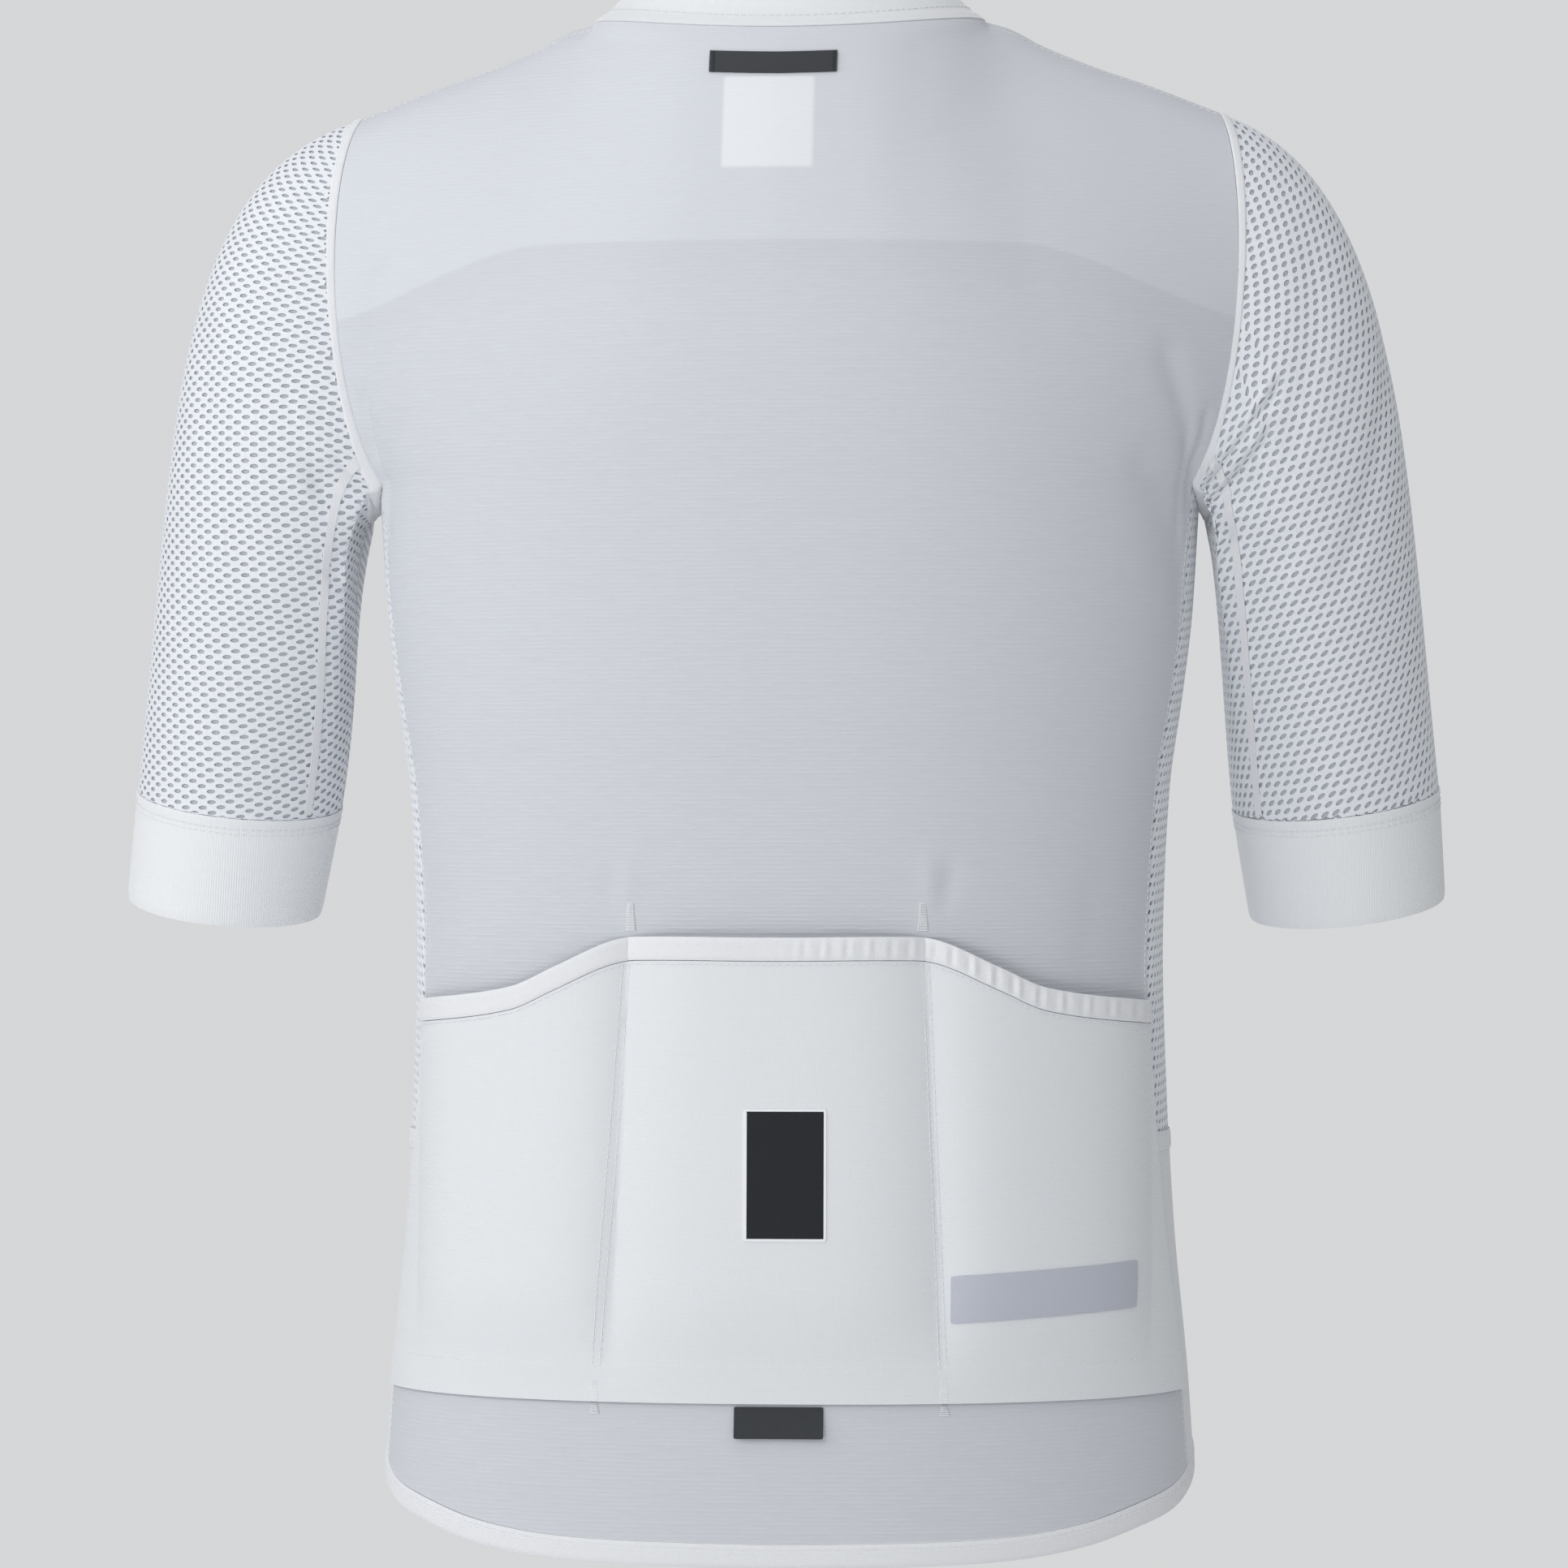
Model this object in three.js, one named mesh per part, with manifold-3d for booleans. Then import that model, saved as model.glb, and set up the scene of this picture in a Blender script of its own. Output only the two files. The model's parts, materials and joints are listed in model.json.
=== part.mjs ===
// Short-sleeved cycling jersey in its worn shape, empty inside, in millimetres.
// +Z is up, the back faces +Y, the front faces -Y, and the wearer's left is +X.
// The origin is the centre of the neck opening, level with the sides of the neck.

import * as THREE from 'three';
import { mergeVertices } from 'three/addons/utils/BufferGeometryUtils.js';
import Module from 'manifold-3d';

const wasm = await Module();
wasm.setup();

// Driving dimensions of the cloth
const CLOTH = 1.3;
const THICK_EDGE = 2;
const LABEL = 0.8;
const SEAM_GAP = 0.3;
const HEM_GAP = 0.4;
const LAID_GAP = 0.8;
const SQUARENESS = 2.3;
const ARMPIT_Z = -205;
const ARMPIT_DIP = 10;
const ARMPIT_GAP = 2.2;
const SIDE_PANEL_SPLIT_Z = -493;
const HEM_BAND = 10;

// Neck and shoulder
const NECK_HALF_WIDTH = 86.5;
const NECK_BACK_DEPTH = 60;
const NECK_FRONT_DEPTH = 70;
const NECK_BACK_DROP = 9;
const NECK_FRONT_DROP = 50;
const SHOULDER_HALF_WIDTH = 190;
const NECK_SHARE = 0.455;
const COLLAR_HEIGHT = 32;
const COLLAR_LEAN = 0.237;
const COLLAR_LEAN_POWER = 2.2;

// Zip
const FRONT_EDGE_SHARE = 0.0105;
const CHAIN_HALF_WIDTH = 2.3;
const CHAIN_THICKNESS = 1.8;
const TAPE_SHARE = 0.05;
const TAPE_THICKNESS = 0.7;
const TAPE_SET_BACK = 1.9;

// Sleeve and cuff
const SLEEVE_TAPE_WIDTH = 4;
const ARMHOLE_GAP = 0.6;
const SLEEVE_LENGTH = 240;
const CUFF_HEIGHT = 50;
const CUFF_TOP_RADIUS = 46;
const CUFF_BOTTOM_RADIUS = 43.5;
const CUFF_CENTRE = new THREE.Vector3(242.5, -42, -343);
const ARM_DIRECTION = new THREE.Vector3(0.11, -0.19, -0.975).normalize();
const SEAM_TAPE_AROUND = 0.385;
const SEAM_TAPE_DOWN = [0.42, 0.985];

// How the sleeve leaves the armhole: X, Y and Z each even, with the turn and with twice the turn
const LEAVE = {
  x: { even: 42.2, cos: 35.5, sin: 0, cosTwice: 2.3 },
  y: { even: -0.8, cos: 1.5, sin: 8, cosTwice: -0.7 },
  z: { even: -36, cos: -9, sin: 0, cosTwice: 19 },
};
const REACH = { even: 98, cos: 52 };

// How much further out the left arm hangs, by share of the sleeve's length down to the cuff's edge
const LEFT_SPREAD = [
  { down: 0, x: 0 },
  { down: 0.15, x: 4.5 },
  { down: 0.3, x: 6 },
  { down: 0.7, x: 6.5 },
  { down: 1, x: 9.5 },
  { down: 1.21, x: 12.5 },
];

// Pockets, in heights from the neck and distances from the centre line
const POCKET_BOTTOM_Z = -601;
const POCKET_BINDING = 10;
const POCKET_BULGE = 7;
const DIVIDER_TOP_X = 63;
const DIVIDER_BOTTOM_X = 71.5;
const POCKET_EDGE_X = 158;
const POCKET_BULGE_RISE = 50;
const POCKET_EDGE_SHARE = 0.99;
const PATCH = { x: -4.2, z: -503.8, width: 35, height: 56.3 };
const STRIP = { x: -113.2, z: -555.5, width: 78.5, height: 20.5 };
const TAG = { x: -1.6, z: -609, width: 38, height: 13.4 };
const NECK_TAB = { x: 2.8, z: -26.5, width: 55, height: 9.6 };
const NECK_LABEL = { x: 4.2, z: -52.5, width: 39, height: 41 };

// Colours read from the cloth
const COLOURS = {
  ribbed: 0xd6dae2,
  smooth: 0xe4e7ea,
  mesh: 0xdfe2e7,
  cuff: 0xe9ebee,
  tape: 0xf1f2f4,
  charcoal: 0x3a3d41,
  strip: 0xb9bece,
  metal: 0x9a9ea4,
};

// Torso sections, a row for each height
const SECTIONS = [
  { z: -690, halfWidth: 181, back: 106, front: 104 },
  { z: -600, halfWidth: 176, back: 104, front: 104 },
  { z: -530, halfWidth: 169.6, back: 100, front: 102 },
  { z: -457, halfWidth: 166, back: 97, front: 100 },
  { z: -403, halfWidth: 165, back: 98, front: 100 },
  { z: -338, halfWidth: 168, back: 102, front: 103 },
  { z: -302, halfWidth: 173, back: 106, front: 106 },
  { z: -266, halfWidth: 177.5, back: 109, front: 109 },
  { z: -220, halfWidth: 180.5, back: 112, front: 111 },
  { z: -195, halfWidth: 182, back: 113, front: 111 },
];

// Distance of the side panel's seams from the middle of the side, by height
const SIDE_SEAMS = [
  { z: -690, y: 22 },
  { z: -600, y: 26 },
  { z: -430, y: 35 },
  { z: -195, y: 30 },
];

// Lower edge of the hem, by quarter turns from the back centre to the front centre
const HEM = [
  { turn: 0, z: -671 },
  { turn: 0.31, z: -669 },
  { turn: 0.48, z: -664.5 },
  { turn: 0.635, z: -657.5 },
  { turn: 0.79, z: -651 },
  { turn: 1, z: -638 },
  { turn: 1.35, z: -618 },
  { turn: 2, z: -602 },
];

// Shoulder seam's height, by distance from the centre line
const SHOULDER = [
  { x: 86.5, z: 0 },
  { x: 98, z: -3.5 },
  { x: 112, z: -11 },
  { x: 135, z: -20.5 },
  { x: 158, z: -28.5 },
  { x: 190, z: -41 },
];

// How the cloth leaves the armpit level upwards, by share of the half width
const RISE = [
  { across: 0, dx: 0, dy: 5, dz: 75 },
  { across: 0.5, dx: 4, dy: 7, dz: 72 },
  { across: 0.8, dx: 14, dy: 13, dz: 58 },
  { across: 1, dx: 26, dy: 20, dz: 42 },
];

// Guide line that the cloth falls towards below the neck and shoulder edge, by share of the half width
const FALL = [
  { across: 0, x: 0, back: 92, front: 92, backZ: -44, frontZ: -86 },
  { across: 0.2, x: 46, back: 86, front: 84, backZ: -41, frontZ: -68 },
  { across: 0.455, x: 93, back: 66, front: 64, backZ: -32, frontZ: -40 },
  { across: 0.7, x: 141, back: 55, front: 54, backZ: -38, frontZ: -40 },
  { across: 1, x: 201, back: 42, front: 42, backZ: -60, frontZ: -60 },
];

// Upper edge of the pockets, by distance from the centre line
const POCKET_TOP = [
  { x: 0, z: -402 },
  { x: 55, z: -402 },
  { x: 70, z: -404 },
  { x: 93, z: -415 },
  { x: 112, z: -424 },
  { x: 153, z: -430.6 },
  { x: 170, z: -431.5 },
];

// Largest folds of the sleeves, each a line between two places on the sleeve
// Places are shares: around from the shoulder over the back, and down the length
const SLEEVE_FOLDS = [
  { hand: -1, fromAround: 0.45, fromDown: 0.04, toAround: 0.33, toDown: 0.25, width: 8, height: -4 },
  { hand: -1, fromAround: 0.47, fromDown: 0.1, toAround: 0.4, toDown: 0.3, width: 7, height: -3 },
  { hand: -1, fromAround: 0.55, fromDown: 0.06, toAround: 0.66, toDown: 0.3, width: 8, height: -3.5 },
  { hand: -1, fromAround: 0.06, fromDown: 0.5, toAround: 0.2, toDown: 0.62, width: 10, height: -1.5 },
  { hand: 1, fromAround: 0.44, fromDown: 0.05, toAround: 0.35, toDown: 0.22, width: 8, height: -3.2 },
  { hand: 1, fromAround: 0.46, fromDown: 0.14, toAround: 0.4, toDown: 0.4, width: 7, height: -2 },
  { hand: 1, fromAround: 0.55, fromDown: 0.06, toAround: 0.64, toDown: 0.27, width: 8, height: -3.5 },
  { hand: 1, fromAround: 0.9, fromDown: 0.55, toAround: 0.78, toDown: 0.68, width: 10, height: -1.5 },
];

// Largest folds of the back and front by the armholes, in shares of the panel
const PANEL_FOLDS = [
  { face: 1, hand: 1, fromAcross: 0.95, fromRise: 1.1, toAcross: 0.86, toRise: 1.45, width: 7, height: -2.5 },
  { face: 1, hand: -1, fromAcross: 0.94, fromRise: 1.05, toAcross: 0.8, toRise: 1.25, width: 8, height: -2 },
  { face: -1, hand: 1, fromAcross: 0.94, fromRise: 1.05, toAcross: 0.8, toRise: 1.3, width: 8, height: -2.5 },
  { face: -1, hand: -1, fromAcross: 0.94, fromRise: 1.08, toAcross: 0.83, toRise: 1.4, width: 8, height: -2.2 },
];

// Helpers for smooth values

function lerp(a, b, t) {
  return a + (b - a) * t;
}

// Reads a column of a table on a smooth curve through its rows.
function smooth(rows, key, column, at) {
  const last = rows.length - 1;
  const value = THREE.MathUtils.clamp(at, rows[0][key], rows[last][key]);
  let i = 0;
  while (i < last - 1 && value > rows[i + 1][key]) i += 1;
  const slope = (j) => {
    const before = rows[Math.max(j - 1, 0)];
    const after = rows[Math.min(j + 1, last)];
    return (after[column] - before[column]) / (after[key] - before[key]);
  };
  const span = rows[i + 1][key] - rows[i][key];
  const t = (value - rows[i][key]) / span;
  const t2 = t * t;
  const t3 = t2 * t;
  return (2 * t3 - 3 * t2 + 1) * rows[i][column]
    + (t3 - 2 * t2 + t) * span * slope(i)
    + (3 * t2 - 2 * t3) * rows[i + 1][column]
    + (t3 - t2) * span * slope(i + 1);
}

function bezier(a, b, c, d, t) {
  const s = 1 - t;
  return new THREE.Vector3()
    .addScaledVector(a, s * s * s)
    .addScaledVector(b, 3 * s * s * t)
    .addScaledVector(c, 3 * s * t * t)
    .addScaledVector(d, t * t * t);
}

// Height of a soft fold at a place, with the distance taken to the fold's line.
function foldHeight(fold, place, start, end) {
  const line = end.clone().sub(start);
  const along = THREE.MathUtils.clamp(place.clone().sub(start).dot(line) / line.lengthSq(), 0, 1);
  const away = place.distanceTo(start.clone().addScaledVector(line, along));
  return fold.height * Math.exp(-((away / fold.width) ** 2));
}

// Unit normal of a surface at a place, pointing away from the inner point.
function normalAt(surface, u, v, inner) {
  const step = 0.002;
  const du = surface(u + step, v).sub(surface(u - step, v));
  const dv = surface(u, v + step).sub(surface(u, v - step));
  const normal = du.cross(dv).normalize();
  const outward = surface(u, v).sub(inner(u, v));
  return normal.dot(outward) < 0 ? normal.negate() : normal;
}

// Torso form

function torsoPoint(turn, hand, z) {
  const angle = turn * Math.PI / 2;
  const depth = smooth(SECTIONS, 'z', turn < 1 ? 'back' : 'front', z);
  const cosine = Math.cos(angle);
  const power = 2 / SQUARENESS;
  const x = smooth(SECTIONS, 'z', 'halfWidth', z) * Math.abs(Math.sin(angle)) ** power;
  const y = depth * Math.sign(cosine) * Math.abs(cosine) ** power;
  return new THREE.Vector3(hand * x, y, z);
}

// Quarter turns from a face's centre line to the side panel's seam.
function seamTurn(face, z) {
  const depth = smooth(SECTIONS, 'z', face > 0 ? 'back' : 'front', z);
  const cosine = (smooth(SIDE_SEAMS, 'z', 'y', z) / depth) ** (SQUARENESS / 2);
  return Math.acos(cosine) * 2 / Math.PI;
}

// Height just above the hem band, where the turn itself depends a little on the height.
function hemTop(turnOf) {
  let z = ARMPIT_Z;
  for (let i = 0; i < 5; i += 1) {
    z = smooth(HEM, 'turn', 'z', turnOf(z)) + HEM_BAND + HEM_GAP;
  }
  return z;
}

// Neck edge or shoulder seam of a face, by share of the half width.
function topEdge(face, across) {
  if (across < NECK_SHARE) {
    const angle = Math.PI / 2 * across / NECK_SHARE;
    return neckEdge(face > 0 ? angle : Math.PI - angle);
  }
  const share = (across - NECK_SHARE) / (1 - NECK_SHARE);
  const x = lerp(NECK_HALF_WIDTH, SHOULDER_HALF_WIDTH, share);
  return new THREE.Vector3(x, 0, smooth(SHOULDER, 'x', 'z', x));
}

// Neck edge by angle from the back centre to the front centre.
function neckEdge(angle) {
  const cosine = Math.cos(angle);
  const depth = cosine > 0 ? NECK_BACK_DEPTH : NECK_FRONT_DEPTH;
  const drop = cosine > 0 ? NECK_BACK_DROP : NECK_FRONT_DROP;
  return new THREE.Vector3(NECK_HALF_WIDTH * Math.sin(angle), depth * cosine, -drop * cosine * cosine);
}

// A face of the torso on one side: across from the centre line to the side seam and armhole,
// rise 0 at the hem band, 1 at the armpit and 2 at the neck and shoulder.
function plainPanelPoint(face, hand, across, rise) {
  const turnOf = (z) => {
    const turn = across * seamTurn(face, z);
    return face > 0 ? turn : 2 - turn;
  };
  if (rise < 1) {
    const z = lerp(hemTop(turnOf), ARMPIT_Z, rise);
    return torsoPoint(turnOf(z), hand, z);
  }
  const start = torsoPoint(turnOf(ARMPIT_Z), 1, ARMPIT_Z);
  const end = topEdge(face, across);
  const up = new THREE.Vector3(
    smooth(RISE, 'across', 'dx', across),
    face * smooth(RISE, 'across', 'dy', across),
    smooth(RISE, 'across', 'dz', across),
  );
  const fall = new THREE.Vector3(
    smooth(FALL, 'across', 'x', across),
    face * smooth(FALL, 'across', face > 0 ? 'back' : 'front', across),
    smooth(FALL, 'across', face > 0 ? 'backZ' : 'frontZ', across),
  );
  const point = bezier(start, up.add(start), fall, end, rise - 1);
  point.x *= hand;
  return point;
}

function torsoInner(point) {
  return new THREE.Vector3(point.x * 0.4, 0, Math.min(point.z, ARMPIT_Z / 2));
}

function panelPoint(face, hand, across, rise) {
  const point = plainPanelPoint(face, hand, across, rise);
  const folds = PANEL_FOLDS.filter((fold) => fold.face === face && fold.hand === hand);
  const metric = (a, r) => new THREE.Vector2(a * SHOULDER_HALF_WIDTH, r * -ARMPIT_Z);
  const place = metric(across, rise);
  const height = folds.reduce((sum, fold) => sum + foldHeight(
    fold,
    place,
    metric(fold.fromAcross, fold.fromRise),
    metric(fold.toAcross, fold.toRise),
  ), 0);
  if (Math.abs(height) < 0.01) return point;
  const surface = (a, r) => plainPanelPoint(face, hand, a, r);
  const normal = normalAt(surface, across, rise, () => torsoInner(point));
  return point.addScaledVector(normal, height);
}

// The whole back, across from -1 at the wearer's right to 1 at the left.
function backPoint(across, rise) {
  return panelPoint(1, across < 0 ? -1 : 1, Math.abs(across), rise);
}

// Side panel: across from the back seam to the front seam, at a height.
function sidePoint(hand, across, z) {
  const turn = lerp(seamTurn(1, z), 2 - seamTurn(-1, z), across);
  return torsoPoint(turn, hand, z);
}

function sideTop(across) {
  return ARMPIT_Z - ARMPIT_DIP * Math.sin(Math.PI * across);
}

// Collar: angle from the back centre to the front centre, height share 0 to 1.
function collarPoint(angle, share) {
  const base = neckEdge(Math.abs(angle));
  const lean = 1 - COLLAR_LEAN * (1 - Math.max(0, 1 - share) ** COLLAR_LEAN_POWER);
  return new THREE.Vector3(
    Math.sign(angle) * base.x * lean,
    base.y * lean,
    base.z + COLLAR_HEIGHT * share,
  );
}

// Armhole edge, evenly spaced from the shoulder over the back to the armpit and up the front

const ARMHOLE_STEPS = 60;

function armholeLoop() {
  const steps = ARMHOLE_STEPS;
  const points = [];
  for (let i = 0; i < steps; i += 1) points.push(plainPanelPoint(1, 1, 1, 2 - i / steps));
  for (let i = 0; i < steps; i += 1) points.push(sidePoint(1, i / steps, sideTop(i / steps)));
  for (let i = 0; i < steps; i += 1) points.push(plainPanelPoint(-1, 1, 1, 1 + i / steps));
  return new THREE.CatmullRomCurve3(points, true, 'centripetal');
}

const ARMHOLE = armholeLoop();
ARMHOLE.arcLengthDivisions = 720;

// Sleeve: around from the shoulder over the back, down 0 at the armhole and 1 at the cuff.
const CUFF_OUT = new THREE.Vector3(1, 0, 0)
  .addScaledVector(ARM_DIRECTION, -ARM_DIRECTION.x)
  .normalize();
const CUFF_BACK = new THREE.Vector3().crossVectors(CUFF_OUT, ARM_DIRECTION).normalize();
if (CUFF_BACK.y < 0) CUFF_BACK.negate();

function cuffPoint(around, share) {
  const angle = around * 2 * Math.PI;
  const radius = lerp(CUFF_TOP_RADIUS, CUFF_BOTTOM_RADIUS, share);
  return CUFF_CENTRE.clone()
    .addScaledVector(ARM_DIRECTION, share * CUFF_HEIGHT)
    .addScaledVector(CUFF_OUT, radius * Math.cos(angle))
    .addScaledVector(CUFF_BACK, radius * Math.sin(angle));
}

function plainSleevePoint(around, down) {
  const turn = around * 2 * Math.PI;
  const start = ARMHOLE.getPointAt(((around % 1) + 1) % 1);
  const end = cuffPoint(around, 0);
  const swing = ({ even, cos, sin, cosTwice }) => (
    even + cos * Math.cos(turn) + sin * Math.sin(turn) + cosTwice * Math.cos(2 * turn)
  );
  const leave = new THREE.Vector3(swing(LEAVE.x), swing(LEAVE.y), swing(LEAVE.z));
  const reach = REACH.even + REACH.cos * Math.cos(turn);
  return bezier(
    start,
    leave.add(start),
    end.clone().addScaledVector(ARM_DIRECTION, -reach),
    end,
    down,
  );
}

function armInner(around, down) {
  const opposite = plainSleevePoint(around + 0.5, down);
  return opposite.lerp(plainSleevePoint(around, down), 0.5);
}

// Moves a point of the left arm out to its side, and mirrors one of the right arm.
function toSide(point, hand, down) {
  const spread = hand > 0 ? smooth(LEFT_SPREAD, 'down', 'x', down) : 0;
  return point.setX(hand * (point.x + spread));
}

function sleevePoint(hand, around, down) {
  const point = plainSleevePoint(around, down);
  const girth = 2 * Math.PI * CUFF_TOP_RADIUS;
  const metric = (a, d) => new THREE.Vector2(a * girth, d * SLEEVE_LENGTH);
  const place = metric(((around % 1) + 1) % 1, down);
  const height = SLEEVE_FOLDS.filter((fold) => fold.hand === hand).reduce((sum, fold) => sum + foldHeight(
    fold,
    place,
    metric(fold.fromAround, fold.fromDown),
    metric(fold.toAround, fold.toDown),
  ), 0);
  if (Math.abs(height) > 0.01) {
    const fade = THREE.MathUtils.smoothstep(down, 0.02, 0.1);
    point.addScaledVector(normalAt(plainSleevePoint, around, down, armInner), height * fade);
  }
  return toSide(point, hand, down);
}

// Share of the sleeve's length that a distance from the armhole takes.
function downAt(around, distance) {
  const step = 0.01;
  const speed = plainSleevePoint(around, step).distanceTo(plainSleevePoint(around, 0)) / step;
  return distance / speed;
}

// Pocket face, on the back's form and moved out, with three bulging pockets

function pocketX(across, z) {
  return torsoPoint(Math.abs(across) * seamTurn(1, z), 1, z).x;
}

function pocketLift(x, z, turnedEdge) {
  const divider = THREE.MathUtils.mapLinear(z, POCKET_BOTTOM_Z, POCKET_TOP[0].z, DIVIDER_BOTTOM_X, DIVIDER_TOP_X);
  const offside = Math.abs(x);
  const share = offside < divider
    ? offside / divider
    : Math.abs(2 * (offside - divider) / (POCKET_EDGE_X - divider) - 1);
  const across = Math.max(0, 1 - share ** 4);
  const rise = THREE.MathUtils.smoothstep(z, POCKET_BOTTOM_Z, POCKET_BOTTOM_Z + POCKET_BULGE_RISE);
  return turnedEdge + POCKET_BULGE * across * rise;
}

function pocketPoint(across, z) {
  const surface = (a, h) => torsoPoint(Math.abs(a) * seamTurn(1, h), a < 0 ? -1 : 1, h);
  const point = surface(across, z);
  const normal = normalAt(surface, across, z, () => torsoInner(point));
  return point.addScaledVector(normal, pocketLift(point.x, z, CLOTH + HEM_GAP));
}

// Share of the half width where the pocket face has a distance from the centre line.
function acrossAtX(x, z) {
  const halfWidth = smooth(SECTIONS, 'z', 'halfWidth', z);
  const angle = Math.asin((Math.abs(x) / halfWidth) ** (SQUARENESS / 2));
  return Math.sign(x) * angle * 2 / Math.PI / seamTurn(1, z);
}

// Rise of the back's centre line at a height above the armpit.
function riseAtZ(z) {
  let low = 1;
  let high = 2;
  for (let i = 0; i < 30; i += 1) {
    const middle = (low + high) / 2;
    if (backPoint(0, middle).z < z) low = middle;
    else high = middle;
  }
  return low;
}

// Share of the half width where the back has a distance from the centre line, at a rise.
function acrossAtRise(x, rise) {
  let low = 0;
  let high = 0.9;
  for (let i = 0; i < 30; i += 1) {
    const middle = (low + high) / 2;
    if (backPoint(middle, rise).x < Math.abs(x)) low = middle;
    else high = middle;
  }
  return Math.sign(x) * low;
}

// Making the solids

function solid(positions, indices) {
  let volume = 0;
  const [a, b, c] = [new THREE.Vector3(), new THREE.Vector3(), new THREE.Vector3()];
  for (let i = 0; i < indices.length; i += 3) {
    a.fromArray(positions, indices[i] * 3);
    b.fromArray(positions, indices[i + 1] * 3);
    c.fromArray(positions, indices[i + 2] * 3);
    volume += a.dot(b.cross(c));
  }
  const turned = [];
  for (let i = 0; i < indices.length; i += 3) {
    turned.push(indices[i], indices[i + 2], indices[i + 1]);
  }
  const geometry = new THREE.BufferGeometry();
  geometry.setAttribute('position', new THREE.Float32BufferAttribute(positions, 3));
  geometry.setIndex(volume < 0 ? turned : indices);
  geometry.computeVertexNormals();
  return geometry;
}

// A wall of even thickness on a surface of two shares, open or closed around.
function wall(surface, options) {
  const { columns, rows, thickness, inner, offset = 0, closed = false } = options;
  const across = options.across ?? [0, 1];
  const along = options.along ?? [0, 1];
  const positions = [];
  const width = closed ? columns : columns + 1;
  const index = (layer, i, j) => (layer * (rows + 1) + j) * width + (closed ? i % columns : i);
  for (const layer of [0, 1]) {
    const shift = offset + (layer - 0.5) * thickness;
    for (let j = 0; j <= rows; j += 1) {
      for (let i = 0; i < width; i += 1) {
        const u = lerp(across[0], across[1], i / columns);
        const v = lerp(along[0], along[1], j / rows);
        const normal = normalAt(surface, u, v, inner);
        positions.push(...surface(u, v).addScaledVector(normal, shift).toArray());
      }
    }
  }
  const indices = [];
  const quad = (a, b, c, d) => indices.push(a, b, c, a, c, d);
  for (let j = 0; j < rows; j += 1) {
    for (let i = 0; i < columns; i += 1) {
      quad(index(0, i, j), index(0, i, j + 1), index(0, i + 1, j + 1), index(0, i + 1, j));
      quad(index(1, i, j), index(1, i + 1, j), index(1, i + 1, j + 1), index(1, i, j + 1));
    }
  }
  for (let i = 0; i < columns; i += 1) {
    quad(index(0, i, 0), index(0, i + 1, 0), index(1, i + 1, 0), index(1, i, 0));
    quad(index(0, i, rows), index(1, i, rows), index(1, i + 1, rows), index(0, i + 1, rows));
  }
  if (!closed) {
    for (let j = 0; j < rows; j += 1) {
      quad(index(0, 0, j), index(1, 0, j), index(1, 0, j + 1), index(0, 0, j + 1));
      quad(index(0, columns, j), index(0, columns, j + 1), index(1, columns, j + 1), index(1, columns, j));
    }
  }
  return solid(positions, indices);
}

const garment = new THREE.Group();

function add(name, geometry, colour, roughness = 0.85, metalness = 0) {
  const material = new THREE.MeshStandardMaterial({ color: colour, roughness, metalness });
  const mesh = new THREE.Mesh(geometry, material);
  mesh.name = name;
  garment.add(mesh);
  return mesh;
}

// Two hands of a repeated piece
const HANDS = [
  { hand: 1, side: 'left' },
  { hand: -1, side: 'right' },
];

// Back and fronts

const TOP_TRIM = 0.004;
const SIDE_TRIM = 0.002;
const ARMHOLE_TRIM = 0.005;

// The armhole edge is trimmed a little more than the side seam.
function trimmed(across, rise) {
  const trim = lerp(SIDE_TRIM, ARMHOLE_TRIM, THREE.MathUtils.smoothstep(rise, 0.98, 1.05));
  return across * (1 - trim);
}

function addBack() {
  add('back_panel', wall((u, v) => backPoint(trimmed(u, v), v), {
    across: [-1, 1],
    along: [0, 2 - TOP_TRIM],
    columns: 26,
    rows: 20,
    thickness: CLOTH,
    inner: (u, v) => torsoInner(backPoint(u, v)),
  }), COLOURS.ribbed);
}

function addFronts() {
  for (const { hand, side } of HANDS) {
    add(`front_${side}`, wall((u, v) => panelPoint(-1, hand, trimmed(u, v), v), {
      across: [FRONT_EDGE_SHARE, 1],
      along: [0, 2 - TOP_TRIM],
      columns: 11,
      rows: 20,
      thickness: CLOTH,
      inner: (u, v) => torsoInner(panelPoint(-1, hand, u, v)),
    }), COLOURS.ribbed);
  }
}

// Side panels: perforated above, smooth below

function addSides() {
  const inset = 0.008;
  const inner = (hand) => (u, v) => new THREE.Vector3(hand * 60, 0, v);
  for (const { hand, side } of HANDS) {
    const upper = (u, v) => {
      const top = sideTop(u) - ARMPIT_GAP;
      return sidePoint(hand, u, lerp(SIDE_PANEL_SPLIT_Z + SEAM_GAP / 2, top, v));
    };
    const lower = (u, v) => {
      const turnOf = (z) => lerp(seamTurn(1, z), 2 - seamTurn(-1, z), u);
      return sidePoint(hand, u, lerp(hemTop(turnOf), SIDE_PANEL_SPLIT_Z - SEAM_GAP / 2, v));
    };
    const shape = { across: [inset, 1 - inset], columns: 5, thickness: CLOTH, inner: inner(hand) };
    add(`side_mesh_${side}`, wall(upper, { ...shape, rows: 8 }), COLOURS.mesh);
    add(`side_lower_${side}`, wall(lower, { ...shape, rows: 4 }), COLOURS.smooth);
  }
}

// Hem band round the whole lower edge, open at the zip

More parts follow.
